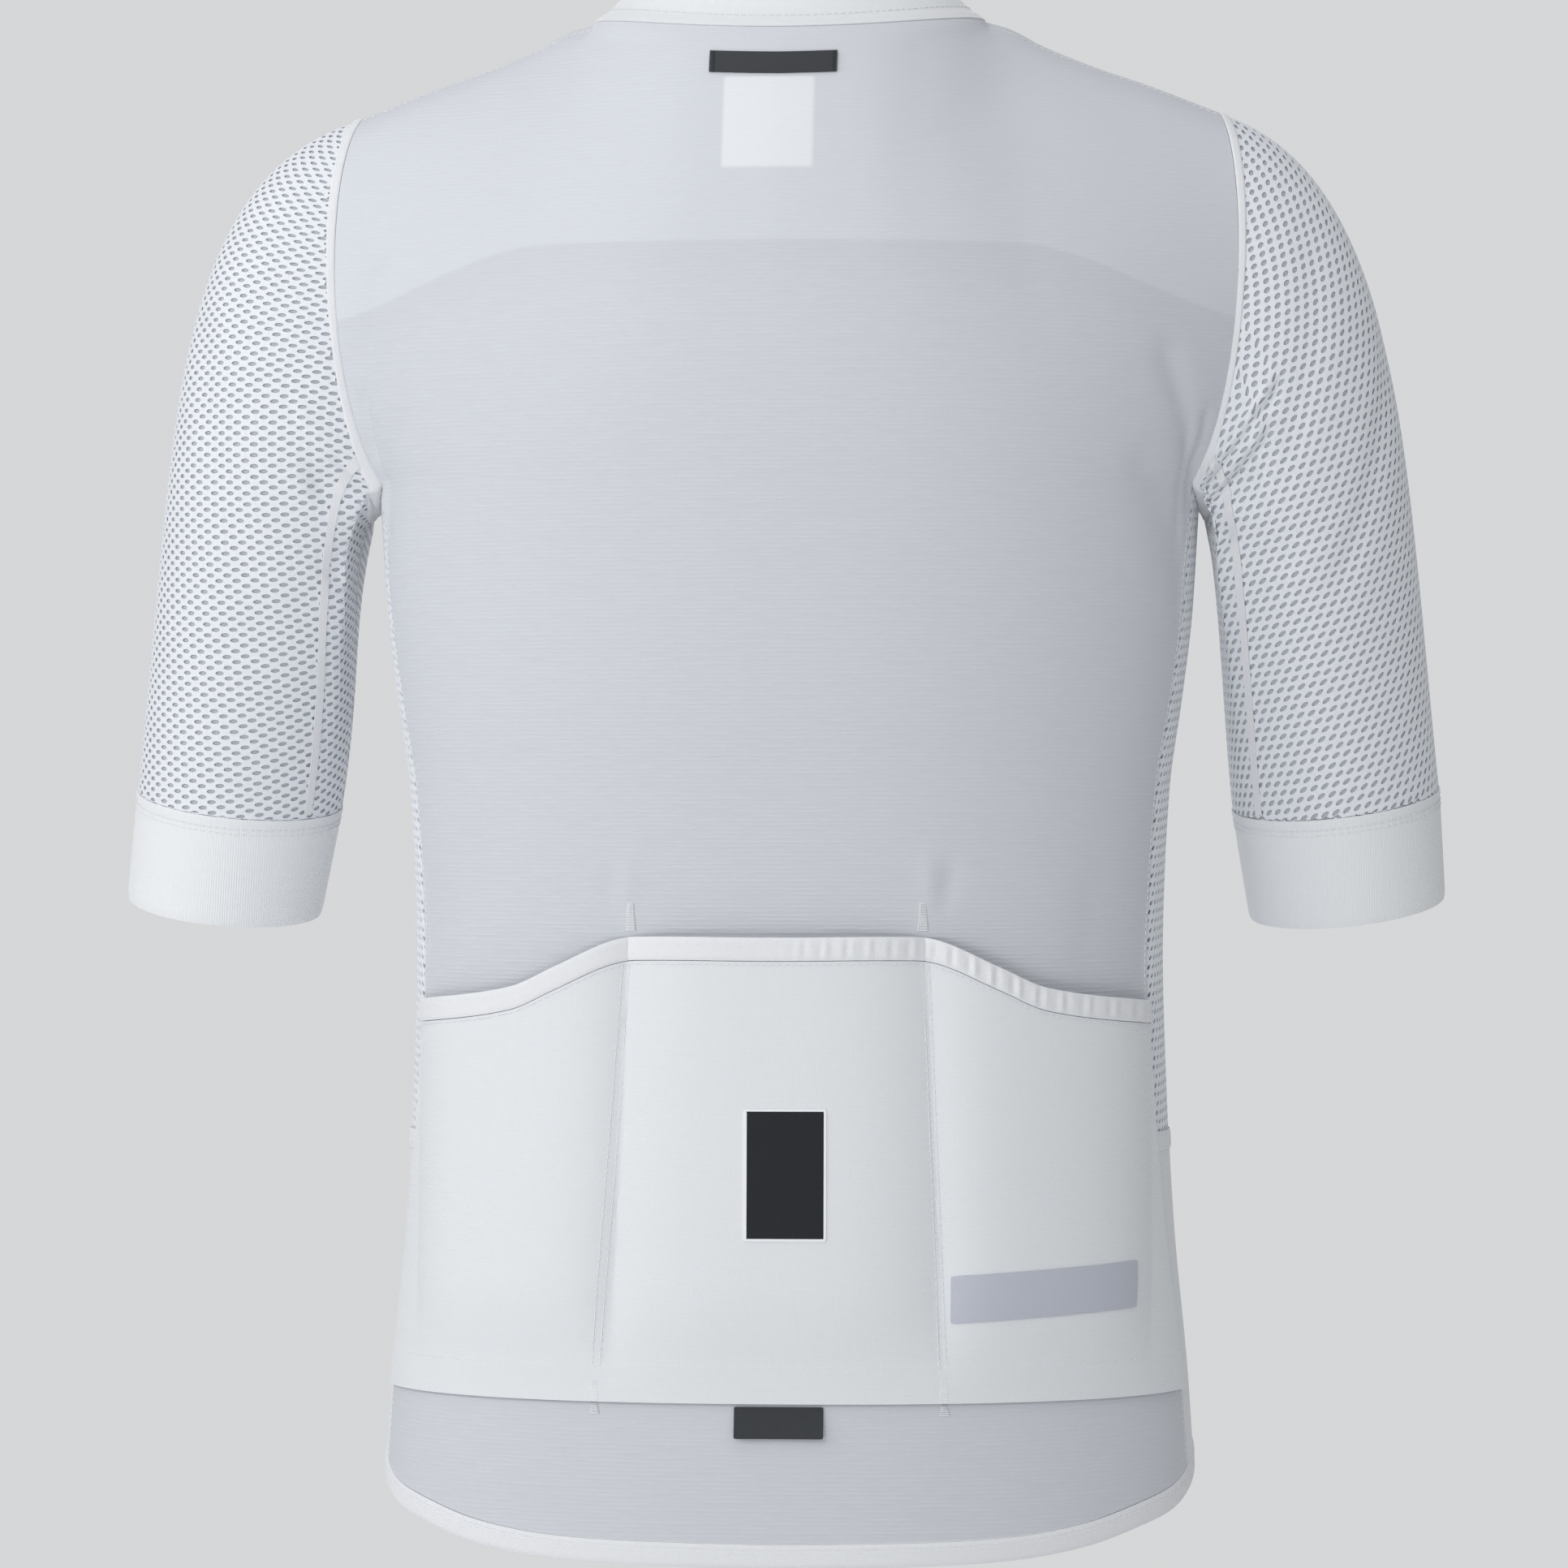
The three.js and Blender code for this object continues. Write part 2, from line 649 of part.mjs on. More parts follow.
function addHem() {
  const surface = (u, v) => {
    const turn = Math.abs(u);
    const z = smooth(HEM, 'turn', 'z', turn) + v * HEM_BAND;
    return torsoPoint(turn, u < 0 ? -1 : 1, z);
  };
  const end = 2 - FRONT_EDGE_SHARE * seamTurn(-1, SECTIONS[0].z);
  add('hem_band', wall(surface, {
    across: [-end, end],
    columns: 56,
    rows: 1,
    thickness: THICK_EDGE,
    inner: (u, v) => torsoInner(surface(u, v)),
  }), COLOURS.tape);
}

// Collar, one band open at the zip

function addCollar() {
  const end = Math.PI - Math.PI / 2 * FRONT_EDGE_SHARE / NECK_SHARE;
  const base = 1 / COLLAR_HEIGHT;
  add('collar', wall(collarPoint, {
    across: [-end, end],
    along: [base, 1],
    columns: 40,
    rows: 3,
    thickness: CLOTH + 0.3,
    inner: () => new THREE.Vector3(0, 0, -60),
  }), COLOURS.tape);
}

// Sleeves, with the tape round the armhole, the cuff and the underarm tape

function addSleeves() {
  const around = { columns: 30, closed: true };
  for (const { hand, side } of HANDS) {
    const inner = (u, v) => toSide(armInner(u, v), hand, v);
    const surface = (u, v) => sleevePoint(hand, u, v);
    const cuffDown = (share) => 1 + share * CUFF_HEIGHT / SLEEVE_LENGTH;
    const tape = (u, v) => sleevePoint(hand, u, downAt(u, lerp(ARMHOLE_GAP, SLEEVE_TAPE_WIDTH, v)));
    const sleeve = (u, v) => surface(u, lerp(downAt(u, SLEEVE_TAPE_WIDTH + SEAM_GAP), 1, v));
    const cuff = (u, v) => {
      const share = lerp(SEAM_GAP / CUFF_HEIGHT, 1, v);
      return toSide(cuffPoint(u, share), hand, cuffDown(share));
    };
    const cuffInner = () => {
      const point = CUFF_CENTRE.clone().addScaledVector(ARM_DIRECTION, CUFF_HEIGHT / 2);
      return toSide(point, hand, cuffDown(0.5));
    };
    add(`armhole_tape_${side}`, wall(tape, { ...around, rows: 1, thickness: CLOTH, inner }), COLOURS.tape);
    add(`sleeve_${side}`, wall(sleeve, { ...around, rows: 13, thickness: CLOTH, inner }), COLOURS.mesh);
    add(`cuff_${side}`, wall(cuff, { ...around, rows: 2, thickness: CLOTH + 0.2, inner: cuffInner }), COLOURS.cuff);
    const half = SLEEVE_TAPE_WIDTH / 2 / (2 * Math.PI * CUFF_TOP_RADIUS);
    add(`underarm_tape_${side}`, wall(surface, {
      across: [SEAM_TAPE_AROUND - half, SEAM_TAPE_AROUND + half],
      along: SEAM_TAPE_DOWN,
      columns: 1,
      rows: 10,
      thickness: LABEL,
      offset: (CLOTH + LABEL) / 2 + SEAM_GAP + 0.2,
      inner,
    }), COLOURS.tape);
  }
}

// Pockets: one face with its elastic binding, the patch, the strip and the tag

function addPockets() {
  const inner = (u, v) => new THREE.Vector3(0, -40, v);
  const topZ = (u) => smooth(POCKET_TOP, 'x', 'z', pocketX(u, POCKET_TOP[0].z));
  const face = (u, v) => pocketPoint(u, lerp(POCKET_BOTTOM_Z, topZ(u) - POCKET_BINDING - SEAM_GAP, v));
  const binding = (u, v) => pocketPoint(u, topZ(u) - POCKET_BINDING * (1 - v));
  const shape = { across: [-POCKET_EDGE_SHARE, POCKET_EDGE_SHARE], columns: 32, inner: (u) => inner(u, POCKET_BOTTOM_Z) };
  add('pocket_panel', wall(face, { ...shape, rows: 9, thickness: CLOTH }), COLOURS.smooth);
  add('pocket_binding', wall(binding, { ...shape, rows: 1, thickness: CLOTH + 0.3 }), COLOURS.tape);
  const laid = (name, piece, colour, columns, rows, base) => {
    const bottom = piece.z - piece.height / 2;
    const surface = (u, v) => {
      const z = bottom + v * piece.height;
      return base(acrossAtX(piece.x + (u - 0.5) * piece.width, z), z);
    };
    add(name, wall(surface, {
      columns,
      rows,
      thickness: LABEL,
      offset: (CLOTH + LABEL) / 2 + LAID_GAP,
      inner: (u, v) => new THREE.Vector3(piece.x * 0.5, 0, bottom + v * piece.height),
    }), colour);
  };
  const back = (u, z) => torsoPoint(Math.abs(u) * seamTurn(1, z), u < 0 ? -1 : 1, z);
  laid('pocket_patch', PATCH, COLOURS.charcoal, 4, 4, pocketPoint);
  laid('grey_strip', STRIP, COLOURS.strip, 12, 3, pocketPoint);
  laid('pocket_tag', TAG, COLOURS.charcoal, 4, 1, back);
}

// Neck tab outside and the label behind the back neck

function addNeckPieces() {
  const place = (name, piece, colour, offset) => {
    const rises = [riseAtZ(piece.z - piece.height / 2), riseAtZ(piece.z + piece.height / 2)];
    const surface = (u, v) => {
      const rise = lerp(rises[0], rises[1], v);
      return backPoint(acrossAtRise(piece.x + (u - 0.5) * piece.width, rise), rise);
    };
    add(name, wall(surface, {
      columns: 4,
      rows: 2,
      thickness: LABEL,
      offset,
      inner: () => new THREE.Vector3(0, 0, -100),
    }), colour);
  };
  const clear = (CLOTH + LABEL) / 2;
  place('neck_tab', NECK_TAB, COLOURS.charcoal, clear + HEM_GAP);
  place('neck_label', NECK_LABEL, COLOURS.tape, -clear - LAID_GAP);
}

// Zip, closed up to the collar

function zipLine(share) {
  return share < 2 ? panelPoint(-1, 1, 0, share) : collarPoint(Math.PI, share - 2);
}

const SLIDER_SHARE = 2.72;
const SLIDER_LENGTH = 9;

function addZip() {
  const inner = () => new THREE.Vector3(0, 0, -150);
  const chain = (u, v) => zipLine(v).setX(u * CHAIN_HALF_WIDTH);
  add('zip_chain', wall(chain, {
    across: [-1, 1],
    along: [-0.02, SLIDER_SHARE - SLIDER_LENGTH / 2 / COLLAR_HEIGHT - 0.03],
    columns: 1,
    rows: 30,
    thickness: CHAIN_THICKNESS,
    inner,
  }), COLOURS.metal, 0.5);
  for (const { hand, side } of HANDS) {
    const tape = (u, v) => {
      if (v < 2) return panelPoint(-1, hand, u, v);
      const angle = Math.PI - Math.PI / 2 * u / NECK_SHARE;
      return collarPoint(hand * angle, v - 2);
    };
    add(`zip_tape_${side}`, wall(tape, {
      across: [0.002, TAPE_SHARE],
      along: [0, 2.97],
      columns: 2,
      rows: 30,
      thickness: TAPE_THICKNESS,
      offset: -TAPE_SET_BACK,
      inner,
    }), COLOURS.tape);
  }
}

// Slider and pull tab, in the zip's own frame: X across, Y outward, Z up the zip

function block(width, depth, height, x, y, z) {
  return new THREE.BoxGeometry(width, depth, height).translate(x, y, z);
}

function toManifold(geometry) {
  const bare = geometry.clone();
  bare.deleteAttribute('normal');
  bare.deleteAttribute('uv');
  const merged = mergeVertices(bare, 1e-4);
  return new wasm.Manifold(new wasm.Mesh({
    numProp: 3,
    vertProperties: new Float32Array(merged.attributes.position.array),
    triVerts: new Uint32Array(merged.index.array),
  }));
}

function joined(geometries) {
  const mesh = geometries.map(toManifold).reduce((sum, part) => sum.add(part)).getMesh();
  const geometry = new THREE.BufferGeometry();
  geometry.setAttribute('position', new THREE.BufferAttribute(mesh.vertProperties, 3));
  geometry.setIndex(new THREE.BufferAttribute(mesh.triVerts, 1));
  geometry.computeVertexNormals();
  return geometry;
}

// Slider's plate, bridge and posts, and the pull's bar, arms and blade
const PLATE = { width: 8.4, depth: 1.2 };
const CORE = { width: 4.4, sunk: 0.5 };
const BRIDGE = { width: 2, depth: 1, post: 1.2, sunk: 0.4 };
const BAR_RADIUS = 0.65;
const ARM = { width: 1, depth: 1.1, length: 6 };
const BLADE = { width: 6, length: 13, drop: 12 };
const PULL_HANG = 28;

function addSlider() {
  const centre = zipLine(SLIDER_SHARE);
  const up = zipLine(SLIDER_SHARE + 0.02).sub(zipLine(SLIDER_SHARE - 0.02)).normalize();
  const across = new THREE.Vector3(1, 0, 0);
  const outward = new THREE.Vector3().crossVectors(across, up).negate().normalize();
  if (outward.y > 0) outward.negate();
  const plateFront = CLOTH / 2 + LAID_GAP + SEAM_GAP + PLATE.depth;
  const barY = plateFront + SEAM_GAP + BAR_RADIUS;
  const bridgeY = barY + BAR_RADIUS + SEAM_GAP;
  const postZ = BAR_RADIUS + SEAM_GAP + BRIDGE.post / 2;
  const postFront = bridgeY + BRIDGE.depth;
  const postBack = plateFront - BRIDGE.sunk;
  const post = (z) => block(
    BRIDGE.width, postFront - postBack, BRIDGE.post, 0, (postFront + postBack) / 2, z,
  );
  const slider = joined([
    block(PLATE.width, PLATE.depth, SLIDER_LENGTH, 0, plateFront - PLATE.depth / 2, 0),
    block(CORE.width, plateFront + CORE.sunk, SLIDER_LENGTH - 1, 0, (plateFront - CORE.sunk) / 2 - 0.3, 0),
    post(postZ),
    post(-postZ),
    block(BRIDGE.width, BRIDGE.depth, 2 * postZ + BRIDGE.post, 0, bridgeY + BRIDGE.depth / 2, 0),
  ]);
  const armX = BRIDGE.width / 2 + SEAM_GAP + ARM.width / 2;
  const bar = new THREE.CylinderGeometry(BAR_RADIUS, BAR_RADIUS, 2 * armX + ARM.width, 12);
  bar.rotateZ(Math.PI / 2);
  const pull = joined([
    bar,
    block(ARM.width, ARM.depth, ARM.length, armX, 0, -ARM.length / 2),
    block(ARM.width, ARM.depth, ARM.length, -armX, 0, -ARM.length / 2),
    block(BLADE.width, ARM.depth, BLADE.length, 0, 0, -BLADE.drop),
  ]);
  const hang = THREE.MathUtils.degToRad(PULL_HANG);
  pull.rotateX(hang);
  pull.translate(0, barY, 0);
  const flip = new THREE.Matrix4().makeBasis(across, outward, up).setPosition(centre);
  for (const [name, geometry] of [['zip_slider', slider], ['zip_pull', pull]]) {
    geometry.applyMatrix4(flip);
    const placed = solid(Array.from(geometry.attributes.position.array), Array.from(geometry.index.array));
    add(name, placed, COLOURS.metal, 0.4, 0.8);
  }
}

addBack();
addFronts();
addSides();
addHem();
addCollar();
addSleeves();
addPockets();
addNeckPieces();
addZip();
addSlider();

export default garment;
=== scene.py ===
"""Short-sleeved cycling jersey, worn and empty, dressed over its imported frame.

The form is worked out in millimetres, as the garment's pattern is, and every mesh is made in metres.
The back faces +Y, the front faces -Y, the wearer's left is +X and +Z is up.
The origin is the centre of the neck opening, level with the sides of the neck.
"""

from __future__ import annotations

import json
import logging
import math
from collections.abc import Callable, Sequence
from dataclasses import dataclass, field
from enum import Enum

import bpy
import numpy as np
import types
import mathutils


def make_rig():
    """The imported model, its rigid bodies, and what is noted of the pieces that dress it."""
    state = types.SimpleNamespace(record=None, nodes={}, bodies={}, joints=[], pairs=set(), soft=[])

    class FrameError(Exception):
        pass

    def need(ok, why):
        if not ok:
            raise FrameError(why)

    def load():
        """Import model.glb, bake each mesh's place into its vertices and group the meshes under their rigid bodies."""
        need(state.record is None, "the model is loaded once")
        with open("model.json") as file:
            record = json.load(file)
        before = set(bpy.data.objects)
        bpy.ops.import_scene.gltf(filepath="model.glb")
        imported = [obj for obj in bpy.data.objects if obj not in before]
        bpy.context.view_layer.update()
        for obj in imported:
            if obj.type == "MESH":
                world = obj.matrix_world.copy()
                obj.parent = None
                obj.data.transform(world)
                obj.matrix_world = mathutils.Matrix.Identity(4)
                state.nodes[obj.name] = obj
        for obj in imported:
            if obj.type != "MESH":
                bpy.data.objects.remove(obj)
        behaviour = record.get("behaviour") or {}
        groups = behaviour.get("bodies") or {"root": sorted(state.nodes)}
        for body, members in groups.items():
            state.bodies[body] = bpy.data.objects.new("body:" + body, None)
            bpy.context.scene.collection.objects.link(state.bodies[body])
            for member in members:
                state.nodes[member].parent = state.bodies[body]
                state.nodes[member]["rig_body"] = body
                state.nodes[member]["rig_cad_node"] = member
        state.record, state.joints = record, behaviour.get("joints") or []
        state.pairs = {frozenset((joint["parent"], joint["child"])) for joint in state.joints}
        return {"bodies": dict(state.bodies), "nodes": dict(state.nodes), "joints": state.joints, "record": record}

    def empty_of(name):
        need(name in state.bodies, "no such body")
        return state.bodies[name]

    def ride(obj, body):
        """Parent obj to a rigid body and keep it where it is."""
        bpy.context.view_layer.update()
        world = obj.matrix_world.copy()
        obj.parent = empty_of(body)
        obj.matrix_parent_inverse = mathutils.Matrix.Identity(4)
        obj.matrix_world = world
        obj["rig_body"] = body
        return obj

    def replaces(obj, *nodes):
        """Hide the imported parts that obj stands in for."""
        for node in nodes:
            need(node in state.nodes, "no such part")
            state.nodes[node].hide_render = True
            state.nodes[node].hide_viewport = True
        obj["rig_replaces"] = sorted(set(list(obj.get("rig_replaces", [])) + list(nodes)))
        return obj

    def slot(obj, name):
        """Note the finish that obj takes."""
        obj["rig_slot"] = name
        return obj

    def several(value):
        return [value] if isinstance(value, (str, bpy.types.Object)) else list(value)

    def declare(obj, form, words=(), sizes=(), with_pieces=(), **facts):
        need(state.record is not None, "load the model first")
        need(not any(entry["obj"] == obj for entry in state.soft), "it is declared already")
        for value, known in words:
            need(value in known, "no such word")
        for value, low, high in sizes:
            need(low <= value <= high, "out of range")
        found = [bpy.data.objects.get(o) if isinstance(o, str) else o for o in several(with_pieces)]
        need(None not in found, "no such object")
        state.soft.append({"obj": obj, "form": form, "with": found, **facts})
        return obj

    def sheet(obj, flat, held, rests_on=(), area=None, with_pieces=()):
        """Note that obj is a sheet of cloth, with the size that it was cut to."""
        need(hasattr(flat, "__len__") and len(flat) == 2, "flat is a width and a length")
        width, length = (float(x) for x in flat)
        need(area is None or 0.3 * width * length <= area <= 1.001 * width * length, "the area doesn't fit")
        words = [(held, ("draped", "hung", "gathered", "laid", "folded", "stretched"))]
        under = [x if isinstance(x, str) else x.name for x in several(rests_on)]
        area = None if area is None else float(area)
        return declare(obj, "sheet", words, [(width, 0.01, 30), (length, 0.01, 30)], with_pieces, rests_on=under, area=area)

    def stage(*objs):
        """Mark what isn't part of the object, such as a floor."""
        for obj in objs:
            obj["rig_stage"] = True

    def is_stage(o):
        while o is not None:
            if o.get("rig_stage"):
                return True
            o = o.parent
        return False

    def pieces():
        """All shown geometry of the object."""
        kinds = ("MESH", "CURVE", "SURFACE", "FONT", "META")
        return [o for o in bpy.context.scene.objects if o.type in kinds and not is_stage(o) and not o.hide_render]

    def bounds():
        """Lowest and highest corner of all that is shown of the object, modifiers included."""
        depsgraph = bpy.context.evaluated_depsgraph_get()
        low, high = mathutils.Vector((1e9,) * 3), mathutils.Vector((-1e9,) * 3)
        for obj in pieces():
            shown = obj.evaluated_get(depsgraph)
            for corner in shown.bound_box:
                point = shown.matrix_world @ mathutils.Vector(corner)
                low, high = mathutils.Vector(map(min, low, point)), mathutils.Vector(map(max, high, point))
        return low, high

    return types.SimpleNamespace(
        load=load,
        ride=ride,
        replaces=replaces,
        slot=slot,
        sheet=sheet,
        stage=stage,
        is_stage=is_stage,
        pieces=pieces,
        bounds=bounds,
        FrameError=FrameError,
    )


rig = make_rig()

log = logging.getLogger("jersey")

Array = np.ndarray
Pair = tuple[float, float]
Steps = tuple[int, int]
Surface = Callable[[Array, Array], Array]
Socket = bpy.types.NodeSocket
Piece = bpy.types.Object
Mesh = bpy.types.Mesh
Material = bpy.types.Material

MM = 0.001
GARMENT = "garment"
PULL = "pull_tab"
SIZE_FILE = "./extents.json"


class Face(Enum):
    """The two faces of the torso."""

    BACK = 1
    FRONT = -1


class Hand(Enum):
    """The wearer's two sides."""

    LEFT = 1
    RIGHT = -1

    @property
    def side(self) -> str:
        """The name of the side in node names."""
        return self.name.lower()


class Weave(Enum):
    """How a cloth's surface is knitted or woven."""

    CROSS_RIB = "cross rib"
    UPRIGHT_KNIT = "upright knit"
    SMOOTH_KNIT = "smooth knit"
    WOVEN = "woven"


# Smooth values


@dataclass(frozen=True)
class Profile:
    """A smooth curve through the rows of a short table.

    Args:
        keys: Rising values that the curve is read at.
        values: The curve's value at each key.
    """

    keys: tuple[float, ...]
    values: tuple[float, ...]

    def at(self, key: Array | float) -> Array:
        """Reads the curve.

        Args:
            key: One or more places, held to the table's ends.

        Returns:
            The curve's value at each place.
        """
        k = np.asarray(self.keys, float)
        v = np.asarray(self.values, float)
        slope = np.empty_like(v)
        slope[1:-1] = (v[2:] - v[:-2]) / (k[2:] - k[:-2])
        slope[0] = (v[1] - v[0]) / (k[1] - k[0])
        slope[-1] = (v[-1] - v[-2]) / (k[-1] - k[-2])
        x = np.clip(np.asarray(key, float), k[0], k[-1])
        i = np.clip(np.searchsorted(k, x, side="left") - 1, 0, len(k) - 2)
        span = k[i + 1] - k[i]
        t = (x - k[i]) / span
        t2, t3 = t * t, t * t * t
        return (
            (2 * t3 - 3 * t2 + 1) * v[i]
            + (t3 - 2 * t2 + t) * span * slope[i]
            + (3 * t2 - 2 * t3) * v[i + 1]
            + (t3 - t2) * span * slope[i + 1]
        )


def points(x: Array, y: Array, z: Array) -> Array:
    """Stacks three coordinates, spread to one shape, as points."""
    return np.stack(np.broadcast_arrays(x, y, z), axis=-1).astype(float)


def spread(*values: Array | float) -> Sequence[Array]:
    """Values as arrays of one shape."""
    return np.broadcast_arrays(*(np.asarray(value, float) for value in values))


def lerp(a: Array | float, b: Array | float, t: Array | float) -> Array:
    """The value a share t of the way from a to b."""
    return a + (b - a) * t


def smoothstep(value: Array | float, low: float, high: float) -> Array:
    """A soft step from 0 at low to 1 at high."""
    t = np.clip((np.asarray(value, float) - low) / (high - low), 0, 1)
    return t * t * (3 - 2 * t)


def bezier(a: Array, b: Array, c: Array, d: Array, t: Array) -> Array:
    """A cubic curve's point at share t, between a and d."""
    t = np.asarray(t, float)[..., None]
    s = 1 - t
    return s * s * s * a + 3 * s * s * t * b + 3 * s * t * t * c + t * t * t * d


def unit(vectors: Array) -> Array:
    """The vectors at length one."""
    return vectors / np.maximum(np.linalg.norm(vectors, axis=-1, keepdims=True), 1e-12)


def normals_of(surface: Surface, u: Array, v: Array, inner: Array) -> Array:
    """Unit normals of a surface, pointing away from the inner points.

    Args:
        surface: The surface.
        u: First shares.
        v: Second shares.
        inner: A point inside it for each place.

    Returns:
        The normals.
    """
    step = 0.002
    du = surface(u + step, v) - surface(u - step, v)
    dv = surface(u, v + step) - surface(u, v - step)
    normal = unit(np.cross(du, dv))
    outward = np.sum(normal * (surface(u, v) - inner), axis=-1, keepdims=True)
    return np.where(outward < 0, -normal, normal)


@dataclass(frozen=True)
class Fold:
    """A soft crease along a line between two places on a piece, in shares of it.

    Args:
        start: Where it begins, as two shares.
        end: Where it ends.
        width: Half the crease's width in mm.
        height: Height in mm, below zero for a trough.
    """

    start: Pair
    end: Pair
    width: float
    height: float

    def lift(self, u: Array, v: Array, metric: Pair) -> Array:
        """Height of the crease at places on the piece.

        Args:
            u: First shares.
            v: Second shares.
            metric: Length in mm of a whole share, each way.

        Returns:
            The height at each place, in mm.
        """
        scale = np.array(metric)
        place = np.stack([u * scale[0], v * scale[1]], axis=-1)
        a = np.array(self.start) * scale
        b = np.array(self.end) * scale
        line = b - a
        along = np.clip(((place - a) @ line) / (line @ line), 0, 1)
        away = np.linalg.norm(place - a - along[..., None] * line, axis=-1)
        return self.height * np.exp(-((away / self.width) ** 2))


def lift_of(folds: Sequence[Fold], u: Array, v: Array, metric: Pair) -> Array:
    """The height of several creases together.

    Args:
        folds: The creases.
        u: First shares.
        v: Second shares.
        metric: Length in mm of a whole share, each way.

    Returns:
        The height at each place, in mm.
    """
    total = np.zeros(np.broadcast(u, v).shape)
    for fold in folds:
        total = total + fold.lift(u, v, metric)
    return total


# The garment's form


@dataclass(frozen=True)
class Form:
    """The worn jersey's surfaces, in mm, the same form as its solids."""

    squareness: float = 2.3
    armpit_z: float = -205
    armpit_dip: float = 10
    split_z: float = -493
    hem_band: float = 10
    neck_half_width: float = 86.5
    neck_back: Pair = (60, 9)
    neck_front: Pair = (70, 50)
    shoulder_half_width: float = 190
    neck_share: float = 0.455
    collar_height: float = 32
    collar_lean: float = 0.237
    collar_power: float = 2.2
    cuff_height: float = 50
    cuff_radii: Pair = (46, 43.5)
    cuff_centre: tuple[float, float, float] = (242.5, -42, -343)
    arm_direction: tuple[float, float, float] = (0.11, -0.19, -0.975)
    pocket_bottom: float = -601
    pocket_bulge: float = 7
    divider_x: Pair = (63, 71.5)
    pocket_edge_x: float = 158

    left_spread: Profile = Profile((0, 0.15, 0.3, 0.7, 1, 1.21), (0, 4.5, 6, 6.5, 9.5, 12.5))
    half_width: Profile = Profile(
        (-690, -600, -530, -457, -403, -338, -302, -266, -220, -195),
        (181, 176, 169.6, 166, 165, 168, 173, 177.5, 180.5, 182),
    )
    back_depth: Profile = Profile(
        (-690, -600, -530, -457, -403, -338, -302, -266, -220, -195),
        (106, 104, 100, 97, 98, 102, 106, 109, 112, 113),
    )
    front_depth: Profile = Profile(
        (-690, -600, -530, -457, -403, -338, -302, -266, -220, -195),
        (104, 104, 102, 100, 100, 103, 106, 109, 111, 111),
    )
    side_seam: Profile = Profile((-690, -600, -430, -195), (22, 26, 35, 30))
    hem: Profile = Profile(
        (0, 0.31, 0.48, 0.635, 0.79, 1, 1.35, 2),
        (-671, -669, -664.5, -657.5, -651, -638, -618, -602),
    )
    shoulder: Profile = Profile(
        (86.5, 98, 112, 135, 158, 190), (0, -3.5, -11, -20.5, -28.5, -41)
    )
    rise_x: Profile = Profile((0, 0.5, 0.8, 1), (0, 4, 14, 26))
    rise_y: Profile = Profile((0, 0.5, 0.8, 1), (5, 7, 13, 20))
    rise_z: Profile = Profile((0, 0.5, 0.8, 1), (75, 72, 58, 42))
    fall_x: Profile = Profile((0, 0.2, 0.455, 0.7, 1), (0, 46, 93, 141, 201))
    fall_back: Profile = Profile((0, 0.2, 0.455, 0.7, 1), (92, 86, 66, 55, 42))
    fall_front: Profile = Profile((0, 0.2, 0.455, 0.7, 1), (92, 84, 64, 54, 42))
    fall_back_z: Profile = Profile((0, 0.2, 0.455, 0.7, 1), (-44, -41, -32, -38, -60))
    fall_front_z: Profile = Profile((0, 0.2, 0.455, 0.7, 1), (-86, -68, -40, -40, -60))
    pocket_top: Profile = Profile(
        (0, 55, 70, 93, 112, 153, 170), (-402, -402, -404, -415, -424, -430.6, -431.5)
    )

    def depth(self, face: Face, z: Array) -> Array:
        """How far a face's centre line lies from the middle, at heights."""
        return (self.back_depth if face is Face.BACK else self.front_depth).at(z)

    def torso(self, turn: Array, hand: Array, z: Array) -> Array:
        """Points of the torso's sections.

        Args:
            turn: Quarter turns, 0 at the back centre, 1 at the side, 2 at the front centre.
            hand: 1 on the wearer's left and -1 on the right.
            z: Heights.

        Returns:
            The points.
        """
        angle = np.asarray(turn, float) * math.pi / 2
        depth = np.where(np.asarray(turn) < 1, self.back_depth.at(z), self.front_depth.at(z))
        cosine = np.cos(angle)
        power = 2 / self.squareness
        x = self.half_width.at(z) * np.abs(np.sin(angle)) ** power
        y = depth * np.sign(cosine) * np.abs(cosine) ** power
        return points(hand * x, y, z)

    def seam_turn(self, face: Face, z: Array) -> Array:
        """Quarter turns from a face's centre line to the side panel's seam."""
        cosine = (self.side_seam.at(z) / self.depth(face, z)) ** (self.squareness / 2)
        return np.arccos(cosine) * 2 / math.pi

    def hem_top(self, turn_of: Callable[[Array], Array], gap: float = 0.4) -> Array:
        """Height just above the hem band, where the turn depends a little on the height.

        Args:
            turn_of: The piece's quarter turns at heights.
            gap: Room above the band, in mm.

        Returns:
            The heights.
        """
        z = np.asarray(self.armpit_z, float)
        for _ in range(5):
            z = self.hem.at(turn_of(z)) + self.hem_band + gap
        return z

    def neck_edge(self, angle: Array) -> Array:
        """Neck edge by angle from the back centre to the front centre, on the left.

        Args:
            angle: 0 at the back centre and pi at the front centre.

        Returns:
            The points.
        """
        cosine = np.cos(angle)
        depth = np.where(cosine > 0, self.neck_back[0], self.neck_front[0])
        drop = np.where(cosine > 0, self.neck_back[1], self.neck_front[1])
        return points(self.neck_half_width * np.sin(angle), depth * cosine, -drop * cosine**2)

    def top_edge(self, face: Face, across: Array) -> Array:
        """Neck edge or shoulder seam of a face, by share of the half width.

        Args:
            face: The back or the front.
            across: Shares of the half width.

        Returns:
            The points.
        """
        angle = math.pi / 2 * np.minimum(across / self.neck_share, 1)
        neck = self.neck_edge(angle if face is Face.BACK else math.pi - angle)
        share = (across - self.neck_share) / (1 - self.neck_share)
        x = lerp(self.neck_half_width, self.shoulder_half_width, np.clip(share, 0, 1.1))
        seam = points(x, 0, self.shoulder.at(x))
        return np.where((across < self.neck_share)[..., None], neck, seam)

